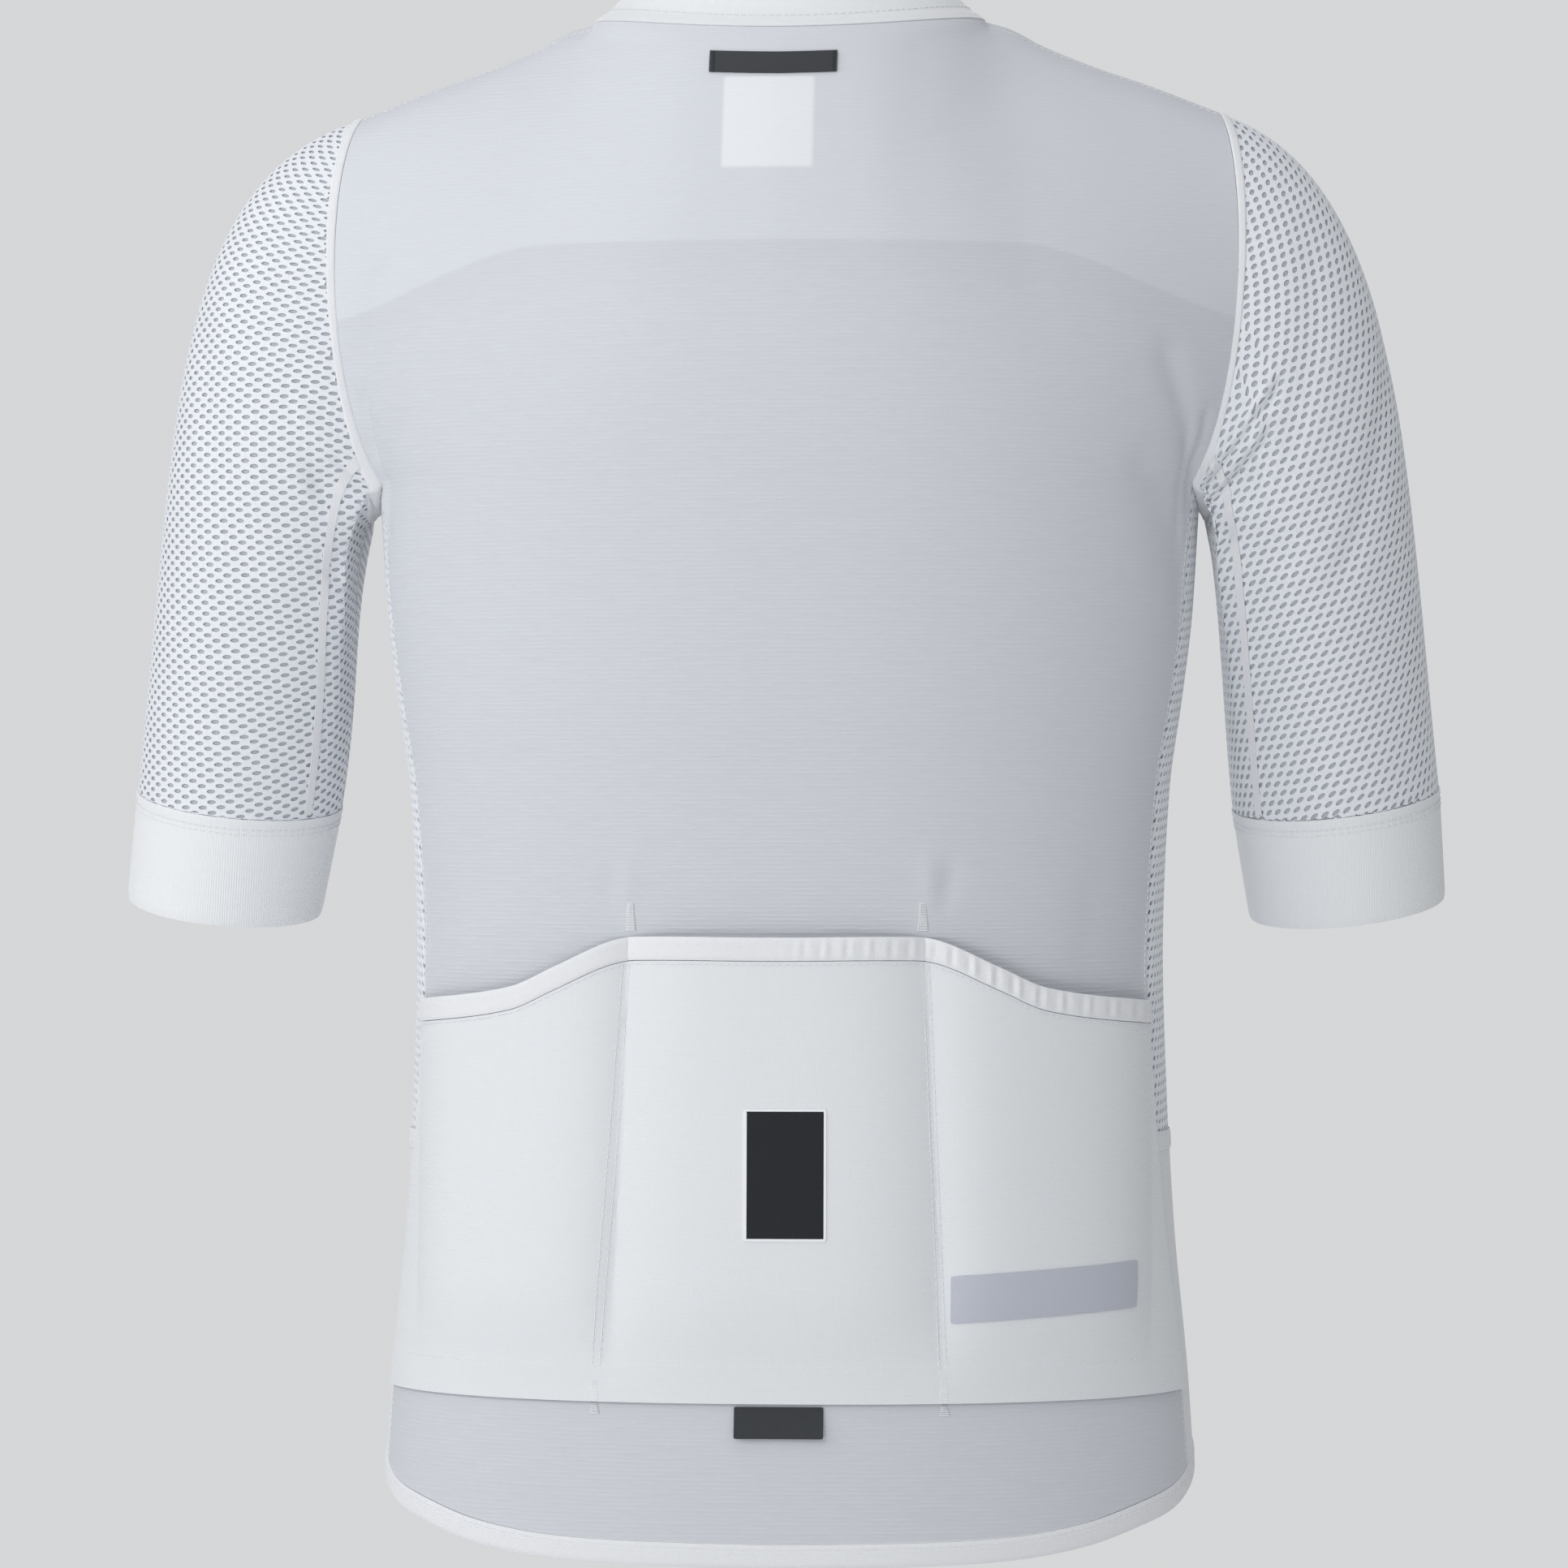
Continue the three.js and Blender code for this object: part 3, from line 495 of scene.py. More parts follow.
    def plain_panel(self, face: Face, hand: Array, across: Array, rise: Array) -> Array:
        """A face of the torso with no folds.

        Args:
            face: The back or the front.
            hand: 1 on the wearer's left and -1 on the right.
            across: 0 at the centre line and 1 at the side seam and armhole.
            rise: 0 at the hem band, 1 at the armpit and 2 at the neck and shoulder.

        Returns:
            The points.
        """
        across, rise = spread(across, rise)

        def turn_of(z: Array) -> Array:
            """Quarter turns of the places at heights."""
            turn = across * self.seam_turn(face, z)
            return turn if face is Face.BACK else 2 - turn

        z = lerp(self.hem_top(turn_of), self.armpit_z, np.minimum(rise, 1))
        lower = self.torso(turn_of(z), hand, z)
        armpit = np.full_like(across, self.armpit_z)
        start = self.torso(turn_of(armpit), 1, armpit)
        up = points(
            self.rise_x.at(across),
            face.value * self.rise_y.at(across),
            self.rise_z.at(across),
        )
        back = face is Face.BACK
        fall = points(
            self.fall_x.at(across),
            face.value * (self.fall_back if back else self.fall_front).at(across),
            (self.fall_back_z if back else self.fall_front_z).at(across),
        )
        upper = bezier(start, start + up, fall, self.top_edge(face, across), rise - 1)
        upper[..., 0] *= hand
        return np.where((rise < 1)[..., None], lower, upper)

    def torso_inner(self, place: Array) -> Array:
        """A point inside the torso for each point of its cloth."""
        return points(place[..., 0] * 0.4, 0, np.minimum(place[..., 2], self.armpit_z / 2))

    def panel(self, face: Face, hand: Hand, across: Array, rise: Array) -> Array:
        """A face of the torso with its folds, with the arguments of plain_panel.

        Args:
            face: The back or the front.
            hand: The wearer's side.
            across: As plain_panel has it.
            rise: As plain_panel has it.

        Returns:
            The points.
        """
        place = self.plain_panel(face, hand.value, across, rise)
        folds = PANEL_FOLDS[face, hand]
        metric = (self.shoulder_half_width, -self.armpit_z)
        height = lift_of(folds, across, rise, metric) * (1 - smoothstep(across, 0.97, 1.0))

        def surface(a: Array, r: Array) -> Array:
            """The face with no folds."""
            return self.plain_panel(face, hand.value, a, r)

        normal = normals_of(surface, across, rise, self.torso_inner(place))
        return place + height[..., None] * normal

    def back(self, across: Array, rise: Array) -> Array:
        """The whole back, across from -1 at the wearer's right to 1 at the left."""
        left = self.panel(Face.BACK, Hand.LEFT, np.abs(across), rise)
        right = self.panel(Face.BACK, Hand.RIGHT, np.abs(across), rise)
        return np.where((across < 0)[..., None], right, left)

    def side(self, hand: float, across: Array, z: Array) -> Array:
        """Side panel, across from the back seam to the front seam, at heights."""
        turn = lerp(self.seam_turn(Face.BACK, z), 2 - self.seam_turn(Face.FRONT, z), across)
        return self.torso(turn, hand, z)

    def side_top(self, across: Array) -> Array:
        """Height of the armhole's lowest stretch over the side panel."""
        return self.armpit_z - self.armpit_dip * np.sin(math.pi * across)

    def collar(self, angle: Array, share: Array) -> Array:
        """Collar by angle from the back centre, right below zero, and share of its height.

        Args:
            angle: From the back centre, below zero on the right.
            share: Shares of its height.

        Returns:
            The points.
        """
        base = self.neck_edge(np.abs(angle))
        lean = 1 - self.collar_lean * (1 - np.maximum(1 - share, 0) ** self.collar_power)
        return points(
            np.sign(angle) * base[..., 0] * lean,
            base[..., 1] * lean,
            base[..., 2] + self.collar_height * share,
        )

    def armhole(self, around: Array) -> Array:
        """Armhole edge of the left side, from the shoulder over the back, by share of its length.

        Args:
            around: Shares of its length.

        Returns:
            The points.
        """
        steps = np.linspace(0, 1, 161)
        loop = np.concatenate(
            [
                self.plain_panel(Face.BACK, 1, np.ones(161), 2 - steps)[:-1],
                self.side(1, steps, self.side_top(steps))[:-1],
                self.plain_panel(Face.FRONT, 1, np.ones(161), 1 + steps),
            ]
        )
        length = np.concatenate([[0], np.cumsum(np.linalg.norm(np.diff(loop, axis=0), axis=1))])
        at = np.mod(around, 1) * length[-1]
        return np.stack([np.interp(at, length, loop[:, k]) for k in range(3)], axis=-1)

    def arm_axes(self) -> tuple[Array, Array, Array]:
        """The arm's direction, its outward side and its back side, as unit vectors."""
        down = unit(np.array(self.arm_direction))
        out = unit(np.array([1.0, 0, 0]) - down[0] * down)
        back = np.cross(out, down)
        return down, out, back * np.sign(back[1])

    def cuff(self, around: Array, share: Array) -> Array:
        """Cuff of the left side, around from the outer side over the back.

        Args:
            around: Shares of a turn.
            share: Shares of its height, down.

        Returns:
            The points.
        """
        down, out, back = self.arm_axes()
        angle = np.asarray(around)[..., None] * 2 * math.pi
        share = np.asarray(share, float)[..., None]
        radius = lerp(self.cuff_radii[0], self.cuff_radii[1], share)
        ring = radius * (out * np.cos(angle) + back * np.sin(angle))
        return np.array(self.cuff_centre) + down * share * self.cuff_height + ring

    def plain_sleeve(self, around: Array, down: Array) -> Array:
        """Left sleeve with no folds, around from the shoulder over the back, down to the cuff.

        Args:
            around: Shares of a turn.
            down: 0 at the armhole and 1 at the cuff.

        Returns:
            The points.
        """
        around, down = spread(around, down)
        turn = around * 2 * math.pi
        start = self.armhole(around)
        end = self.cuff(around, np.zeros_like(around))
        leave = points(
            42.2 + 35.5 * np.cos(turn) + 2.3 * np.cos(2 * turn),
            -0.8 + 1.5 * np.cos(turn) + 8 * np.sin(turn) - 0.7 * np.cos(2 * turn),
            -36 - 9 * np.cos(turn) + 19 * np.cos(2 * turn),
        )
        reach = (98 + 52 * np.cos(turn))[..., None] * self.arm_axes()[0]
        return bezier(start, start + leave, end - reach, end, down)

    def to_side(self, place: Array, hand: Hand, down: Array) -> Array:
        """Moves points of the left arm out to its side, and mirrors those of the right arm."""
        spread = self.left_spread.at(down) if hand is Hand.LEFT else 0
        return points(hand.value * (place[..., 0] + spread), place[..., 1], place[..., 2])

    def arm_inner(self, around: Array, down: Array) -> Array:
        """A point inside the left sleeve for each place on it."""
        return (self.plain_sleeve(around + 0.5, down) + self.plain_sleeve(around, down)) / 2

    def sleeve(self, hand: Hand, around: Array, down: Array) -> Array:
        """A sleeve with its folds, on either side.

        Args:
            hand: The wearer's side.
            around: Shares of a turn.
            down: 0 at the armhole and 1 at the cuff.

        Returns:
            The points.
        """
        around, down = spread(around, down)
        place = self.plain_sleeve(around, down)
        metric = (2 * math.pi * self.cuff_radii[0], SLEEVE_LENGTH)
        height = lift_of(SLEEVE_FOLDS[hand], np.mod(around, 1), down, metric)
        height = height * smoothstep(down, 0.02, 0.1)
        creases = lift_of(SLEEVE_CREASES[hand], np.mod(around, 1), down, metric)
        height = height + creases * smoothstep(down, 0.0, 0.035)
        normal = normals_of(self.plain_sleeve, around, down, self.arm_inner(around, down))
        return self.to_side(place + height[..., None] * normal, hand, down)

    def pocket_lift(self, x: Array, z: Array) -> Array:
        """How far the pocket face stands off the back.

        Args:
            x: Distances from the centre line.
            z: Heights.

        Returns:
            The distances in mm.
        """
        rise = (z - self.pocket_bottom) / (self.pocket_top.values[0] - self.pocket_bottom)
        divider = lerp(self.divider_x[1], self.divider_x[0], rise)
        aside = np.abs(x)
        outer = np.abs(2 * (aside - divider) / (self.pocket_edge_x - divider) - 1)
        share = np.where(aside < divider, aside / divider, outer)
        bulge = np.maximum(0, 1 - share**4)
        fade = smoothstep(z, self.pocket_bottom, self.pocket_bottom + 50)
        return 1.7 + self.pocket_bulge * bulge * fade

    def back_torso(self, across: Array, z: Array) -> Array:
        """The back's plain surface by share of its half width and height."""
        turn = np.abs(across) * self.seam_turn(Face.BACK, z)
        return self.torso(turn, np.where(np.asarray(across) < 0, -1, 1), z)

    def pocket(self, across: Array, z: Array) -> Array:
        """The pocket face by share of the back's half width and height.

        Args:
            across: Shares of the half width.
            z: Heights.

        Returns:
            The points.
        """
        across, z = spread(across, z)
        place = self.back_torso(across, z)
        normal = normals_of(self.back_torso, across, z, self.torso_inner(place))
        return place + self.pocket_lift(place[..., 0], z)[..., None] * normal

    def across_at(self, x: Array, z: Array) -> Array:
        """Share of the back's half width at a distance from the centre line."""
        ratio = (np.abs(x) / self.half_width.at(z)) ** (self.squareness / 2)
        turn = np.arcsin(np.clip(ratio, 0, 1)) * 2 / math.pi
        return np.sign(x) * turn / self.seam_turn(Face.BACK, z)

    def pocket_top_at(self, across: Array) -> Array:
        """Height of the pockets' upper edge by share of the half width."""
        return self.pocket_top.at(np.abs(self.back_torso(across, np.full(np.shape(across), -402.0))[..., 0]))


SLEEVE_LENGTH = 240

SLEEVE_FOLDS: dict[Hand, tuple[Fold, ...]] = {
    Hand.RIGHT: (
        Fold((0.45, 0.04), (0.33, 0.25), 8, -4),
        Fold((0.47, 0.1), (0.4, 0.3), 7, -3),
        Fold((0.55, 0.06), (0.66, 0.3), 8, -3.5),
        Fold((0.06, 0.5), (0.2, 0.62), 10, -1.5),
        Fold((0.4, 0.05), (0.3, 0.17), 6, 1.6),
        Fold((0.42, 0.3), (0.3, 0.48), 9, -1.2),
        Fold((0.12, 0.2), (0.26, 0.3), 14, -1.0),
        Fold((0.9, 0.3), (0.78, 0.45), 12, -1.4),
    ),
    Hand.LEFT: (
        Fold((0.44, 0.05), (0.35, 0.22), 8, -3.2),
        Fold((0.46, 0.14), (0.4, 0.4), 7, -2),
        Fold((0.55, 0.06), (0.64, 0.27), 8, -3.5),
        Fold((0.9, 0.55), (0.78, 0.68), 10, -1.5),
        Fold((0.38, 0.06), (0.3, 0.15), 6, 1.2),
        Fold((0.1, 0.4), (0.24, 0.55), 13, -1.2),
        Fold((0.35, 0.55), (0.25, 0.7), 10, -0.9),
    ),
}

SLEEVE_CREASES: dict[Hand, tuple[Fold, ...]] = {
    Hand.RIGHT: (
        Fold((0.4, 0.084), (0.25, 0.182), 3.2, -3.1),
        Fold((0.405, 0.066), (0.26, 0.163), 3.8, 2.3),
        Fold((0.43, 0.14), (0.295, 0.208), 3.2, -2.9),
        Fold((0.43, 0.122), (0.3, 0.19), 3.6, 2.0),
        Fold((0.455, 0.17), (0.37, 0.215), 3.6, -1.6),
        Fold((0.55, 0.04), (0.66, 0.15), 3.2, -1.8),
        Fold((0.54, 0.06), (0.63, 0.19), 3.6, 1.3),
    ),
    Hand.LEFT: (
        Fold((0.44, 0.05), (0.365, 0.11), 3.4, -1.4),
        Fold((0.45, 0.075), (0.385, 0.15), 3.8, 1.1),
        Fold((0.55, 0.04), (0.64, 0.14), 3.2, -1.6),
        Fold((0.54, 0.06), (0.66, 0.17), 3.6, 1.2),
    ),
}

PANEL_FOLDS: dict[tuple[Face, Hand], tuple[Fold, ...]] = {
    (Face.BACK, Hand.LEFT): (
        Fold((0.95, 1.1), (0.86, 1.45), 7, -2.5),
        Fold((0.96, 0.98), (0.8, 1.12), 9, -1.6),
        Fold((0.98, 0.55), (0.7, 0.62), 14, -1.4),
        Fold((0.5, 1.86), (0.35, 1.7), 12, -0.8),
        Fold((0.948, 1.22), (0.962, 1.0), 4, -2.0),
        Fold((0.92, 1.18), (0.94, 0.98), 4, 1.1),
        Fold((0.895, 1.14), (0.93, 0.99), 4, -0.9),
        Fold((0.283, 0.6), (0.262, 0.622), 3, 1.0),
        Fold((0.29, 0.6), (0.312, 0.618), 3, -0.9),
    ),
    (Face.BACK, Hand.RIGHT): (
        Fold((0.94, 1.05), (0.8, 1.25), 8, -2),
        Fold((0.97, 0.9), (0.74, 1.02), 9, -1.4),
        Fold((0.98, 0.5), (0.72, 0.56), 12, -1.2),
        Fold((0.52, 1.84), (0.36, 1.66), 11, -0.7),
        Fold((0.95, 1.17), (0.968, 0.985), 3.8, -1.8),
        Fold((0.925, 1.13), (0.95, 0.96), 3.8, 1.0),
        Fold((0.9, 1.09), (0.935, 0.95), 4, -1.2),
        Fold((0.292, 0.6), (0.272, 0.624), 3, 1.0),
        Fold((0.3, 0.6), (0.325, 0.622), 3, -1.0),
    ),
    (Face.FRONT, Hand.LEFT): (
        Fold((0.94, 1.05), (0.8, 1.3), 8, -2.5),
        Fold((0.96, 0.92), (0.7, 1.05), 10, -1.8),
        Fold((0.96, 0.5), (0.6, 0.58), 13, -1.6),
        Fold((0.9, 0.2), (0.5, 0.26), 14, -1.2),
    ),
    (Face.FRONT, Hand.RIGHT): (
        Fold((0.94, 1.08), (0.83, 1.4), 8, -2.2),
        Fold((0.97, 0.95), (0.74, 1.08), 9, -1.6),
        Fold((0.97, 0.46), (0.62, 0.56), 12, -1.5),
        Fold((0.92, 0.16), (0.56, 0.24), 13, -1.1),
    ),
}


# Finishes


class Nodes:
    """A node tree being built, of a material or of geometry."""

    def __init__(self, tree: bpy.types.NodeTree) -> None:
        """Keeps the tree.

        Args:
            tree: The tree that the nodes go in.
        """
        self.tree = tree

    def feed(self, socket: Socket, value: object) -> None:
        """Feeds a socket.

        Args:
            socket: The input to feed.
            value: Another node's output, or a plain value.
        """
        if isinstance(value, Socket):
            self.tree.links.new(value, socket)
        else:
            socket.default_value = value

    def node(
        self, kind: str, inputs: dict[str | int, object] | None = None, **settings: object
    ) -> bpy.types.Node:
        """Adds a node.

        Args:
            kind: The node's type.
            inputs: What feeds each input, by name or number.
            **settings: The node's properties.

        Returns:
            The node.
        """
        made = self.tree.nodes.new(kind)
        for key, value in settings.items():
            setattr(made, key, value)
        for key, value in (inputs or {}).items():
            self.feed(made.inputs[key], value)
        return made

    def math(self, operation: str, a: object, b: object = 0.0) -> Socket:
        """A function of two values."""
        return self.node("ShaderNodeMath", {0: a, 1: b}, operation=operation).outputs[0]

    def times(self, a: object, b: object) -> Socket:
        """The product of two values."""
        return self.math("MULTIPLY", a, b)

    def plus(self, a: object, b: object) -> Socket:
        """The sum of two values."""
        return self.math("ADD", a, b)

    def less(self, a: object, b: object) -> Socket:
        """The first value less the second."""
        return self.math("SUBTRACT", a, b)


class Shader(Nodes):
    """A material being built from nodes."""

    def __init__(self, name: str) -> None:
        """Starts a material.

        Args:
            name: The material's name.
        """
        self.material = bpy.data.materials.new(name)
        self.material.use_nodes = True
        super().__init__(self.material.node_tree)

    def step(self, value: object, low: float, high: float) -> Socket:
        """A soft step of a value from 0 at low to 1 at high."""
        inputs = {0: value, 1: low, 2: high}
        return self.node("ShaderNodeMapRange", inputs, interpolation_type="SMOOTHSTEP").outputs[0]

    def coordinates(self, uv: bool = False) -> Socket:
        """Object coordinates in metres, or the piece's own cloth map."""
        made = self.node("ShaderNodeUVMap", uv_map="cloth") if uv else self.node("ShaderNodeTexCoord")
        return made.outputs[0 if uv else "Object"]

    def scaled(self, vector: Socket, scale: Sequence[float]) -> Socket:
        """A vector stretched along each axis."""
        return self.node("ShaderNodeVectorMath", {0: vector, 1: scale}, operation="MULTIPLY").outputs[0]

    def split(self, vector: Socket) -> list[Socket]:
        """The X, Y and Z of a vector."""
        return list(self.node("ShaderNodeSeparateXYZ", {0: vector}).outputs)

    def noise(self, vector: Socket, scale: float, detail: float = 3.0) -> Socket:
        """A noise value about one half."""
        inputs = {"Vector": vector, "Scale": scale, "Detail": detail}
        return self.node("ShaderNodeTexNoise", inputs).outputs["Fac"]

    def wave(self, vector: Socket, direction: str, pitch: float, distortion: float) -> Socket:
        """Bands across an axis.

        Args:
            vector: Where the bands are read, in metres.
            direction: The axis that they follow each other along.
            pitch: Distance between bands in metres.
            distortion: How far they stray.

        Returns:
            A value from 0 to 1.
        """
        inputs = {
            "Vector": vector,
            "Scale": math.pi / 10 / pitch,
            "Distortion": distortion,
            "Detail": 1.0,
            "Detail Scale": 1.2,
        }
        return self.node("ShaderNodeTexWave", inputs, bands_direction=direction).outputs["Fac"]

    def mix(self, share: object, a: object, b: object) -> Socket:
        """A colour between two colours."""
        return self.node("ShaderNodeMix", {0: share, 6: a, 7: b}, data_type="RGBA").outputs[2]

    def bump(
        self, height: object, distance: float, strength: float = 1.0, before: Socket | None = None
    ) -> Socket:
        """Bent normals of a small relief.

        Args:
            height: The relief, from 0 to 1.
            distance: Its height in metres.
            strength: How much of it shows.
            before: Normals that it is laid on.

        Returns:
            The normals.
        """
        inputs = {"Strength": strength, "Distance": distance, "Height": height}
        if before is not None:
            inputs["Normal"] = before
        return self.node("ShaderNodeBump", inputs).outputs[0]

    def surface(self, looks: dict[str, object]) -> Material:
        """Feeds the surface.

        Args:
            looks: What feeds each of the surface's inputs, by name.

        Returns:
            The finished material.
        """
        for name, value in looks.items():
            self.feed(self.tree.nodes["Principled BSDF"].inputs[name], value)
        return self.material


def rgba(colour: Sequence[float], factor: float = 1.0) -> tuple[float, float, float, float]:
    """A colour made lighter or darker, with full alpha."""
    return tuple(min(1.0, c * factor) for c in colour[:3]) + (1.0,)


@dataclass(frozen=True)
class ClothFinish:
    """A cloth's look.

    Args:
        name: The finish's name.
        slot: The record's material slot.
        colour: Linear colour.
        weave: How its surface is made.
        pitch: Distance between ribs or threads, in metres.
        depth: Height of ribs or threads, in metres.
        roughness: How matt it is.
        sheen: How much soft sheen it has.
        uneven: How much its colour varies.
        from_map: Whether the weave follows the piece's cloth map.
        hollow: How much darker the weave's hollows are painted, as painted shade.
    """

    name: str
    slot: str
    colour: tuple[float, float, float]
    weave: Weave
    pitch: float
    depth: float
    roughness: float = 0.8
    sheen: float = 0.15
    uneven: float = 0.03
    from_map: bool = True
    hollow: float = 0.15

    def tone(self, shader: Shader, colour: Socket) -> Socket:
        """The colour with any tones of its own; plain here."""
        return colour

    def height(self, shader: Shader, place: Socket) -> Socket:
        """The height of the weave, from 0 to 1.

        Args:
            shader: The material being built.
            place: Where the weave is read.

        Returns:
            The height.
        """
        if self.weave is Weave.CROSS_RIB:
            ribs = shader.wave(place, "Z", self.pitch, 1.8)
            streaks = shader.noise(shader.scaled(place, (0.14, 0.14, 1.0)), 1 / self.pitch, 2.0)
            broken = shader.times(ribs, shader.step(streaks, 0.25, 0.7))
            return shader.plus(shader.times(broken, 0.6), shader.times(streaks, 0.4))
        if self.weave is Weave.UPRIGHT_KNIT:
            ribs = shader.wave(place, "X", self.pitch, 0.4)
            loops = shader.wave(place, "Y", self.pitch * 0.8, 0.6)
            return shader.plus(shader.times(ribs, 0.75), shader.times(loops, 0.25))
        across = shader.wave(place, "X", self.pitch, 0.5)
        along = shader.wave(place, "Y", self.pitch, 0.5)
        if self.weave is Weave.WOVEN:
            return shader.times(across, along)
        return shader.times(shader.plus(across, along), 0.5)

    def build(self) -> Material:
        """Builds the material.

        Returns:
            The material, whose patterns lie in the cloth.
        """
        shader = Shader(self.name)
        place = shader.coordinates(self.from_map)
        height = self.height(shader, place)
        spots = shader.coordinates()
        broad = shader.noise(spots, 9.0, 2.0)
        fine = shader.noise(spots, 420.0, 2.0)
        shade = shader.plus(shader.times(broad, 0.5), shader.times(fine, 0.5))
        dark = rgba(self.colour, 1 - self.uneven)
        light = rgba(self.colour, 1 + self.uneven)
        colour = shader.mix(shade, dark, light)
        # Painted shade: the weave's hollows are darkened towards 62% of the colour.
        hollow = shader.times(shader.less(1.0, height), self.hollow)
        colour = shader.mix(hollow, colour, rgba(self.colour, 0.62))
        colour = self.tone(shader, colour)
        fuzz = shader.bump(fine, 0.00006, 0.6)
        return shader.surface(
            {
                "Normal": shader.bump(height, self.depth, 0.9, fuzz),
                "Base Color": colour,
                "Roughness": self.roughness,
                "Sheen Weight": self.sheen,
                "Sheen Roughness": 0.5,
                "Specular IOR Level": 0.25,
            }
        )


@dataclass(frozen=True)
class BackFinish(ClothFinish):
    """The ribbed back, with its lighter yoke, a painted shade below the yoke's edge, and the label that shows through
    below the neck.

    Args:
        yoke_z: Height of the yoke's edge at the centre, in metres.
        yoke_drop: How much lower it is at the armholes.
        label_z: The label's lower and upper edge.
        label_half: Half the label's width.
        label_x: The label's middle.
        soft: Half the width of a tone's edge.
    """

    yoke_z: float = -0.105
    yoke_drop: float = 0.03
    label_z: Pair = (-0.073, -0.032)
    label_half: float = 0.0195
    label_x: float = 0.0042
    soft: float = 0.0012

    def tone(self, shader: Shader, colour: Socket) -> Socket:
        """Adds the yoke's and the label's tones, and a painted shade below the yoke's edge, to the back's colour.

        Args:
            shader: The material being built.
            colour: The colour so far.

        Returns:
            The toned colour.
        """
        x, y, z = shader.split(shader.coordinates())
        soft = self.soft
        behind = shader.step(y, 0.0, 0.02)
        aside = shader.math("ABSOLUTE", x)
        curve = shader.times(shader.step(aside, 0.1, 0.21), self.yoke_drop)
        level = shader.plus(z, curve)
        yoke = shader.times(shader.step(level, self.yoke_z - soft, self.yoke_z + soft), behind)
        colour = shader.mix(shader.times(yoke, 0.35), colour, rgba(self.colour, 1.12))
        # Painted shade: a band below the yoke's edge, darkest at the edge and fading over 30 mm.
        below = shader.step(level, self.yoke_z - 0.03, self.yoke_z)
        edge = shader.times(shader.less(below, yoke), behind)
        colour = shader.mix(shader.times(edge, 0.12), colour, rgba(self.colour, 0.8))
        low, high = self.label_z
        inside = shader.times(
            shader.step(z, low - soft, low + soft),
            shader.less(1.0, shader.step(z, high - soft, high + soft)),
        )
        beside = shader.math("ABSOLUTE", shader.less(x, self.label_x))
        narrow = shader.less(1.0, shader.step(beside, self.label_half - soft, self.label_half + soft))
        label = shader.times(shader.times(inside, narrow), behind)
        return shader.mix(shader.times(label, 0.5), colour, (0.9, 0.92, 0.94, 1.0))


@dataclass(frozen=True)
class BorderedFinish(ClothFinish):
    """A label with a thin light border along its edge, from its cloth map.

    Args:
        size: Width and height in metres.
        border: The border's width in metres.
    """

    size: Pair = (0.035, 0.0563)
    border: float = 0.0011

    def tone(self, shader: Shader, colour: Socket) -> Socket:
        """Adds the border to the label's colour.

        Args:
            shader: The material being built.
            colour: The colour so far.

        Returns:
            The toned colour.
        """
        x, y, _ = shader.split(shader.coordinates(True))
        edges = []
        for value, length in ((x, self.size[0]), (y, self.size[1])):
            middle = shader.math("ABSOLUTE", shader.less(value, length / 2))
            edges.append(shader.math("GREATER_THAN", middle, length / 2 - self.border))
        return shader.mix(shader.math("MAXIMUM", *edges), colour, (0.86, 0.87, 0.89, 1.0))


@dataclass(frozen=True)
class HardFinish:
    """A zip's metal or moulded plastic.

    Args:
        name: The finish's name.
        slot: The record's material slot.
        colour: Linear colour.
        metallic: 1 for metal and 0 for plastic.
        roughness: How matt it is.
    """

    name: str
    slot: str
    colour: tuple[float, float, float]
    metallic: float
    roughness: float

    def build(self) -> Material:
        """Builds the material, with fine scuffs in its gloss.

        Returns:
            The material.
        """
        shader = Shader(self.name)
        place = shader.coordinates()
        scuff = shader.noise(place, 900.0, 4.0)
        wear = shader.noise(place, 160.0, 2.0)
        return shader.surface(
            {
                "Base Color": shader.mix(wear, rgba(self.colour, 0.9), rgba(self.colour, 1.08)),
                "Roughness": shader.plus(shader.times(scuff, 0.25), self.roughness - 0.12),
                "Normal": shader.bump(scuff, 0.00002, 0.5),
                "Metallic": self.metallic,
            }
        )


Finish = ClothFinish | HardFinish
RIBBED = (0.625, 0.645, 0.685)


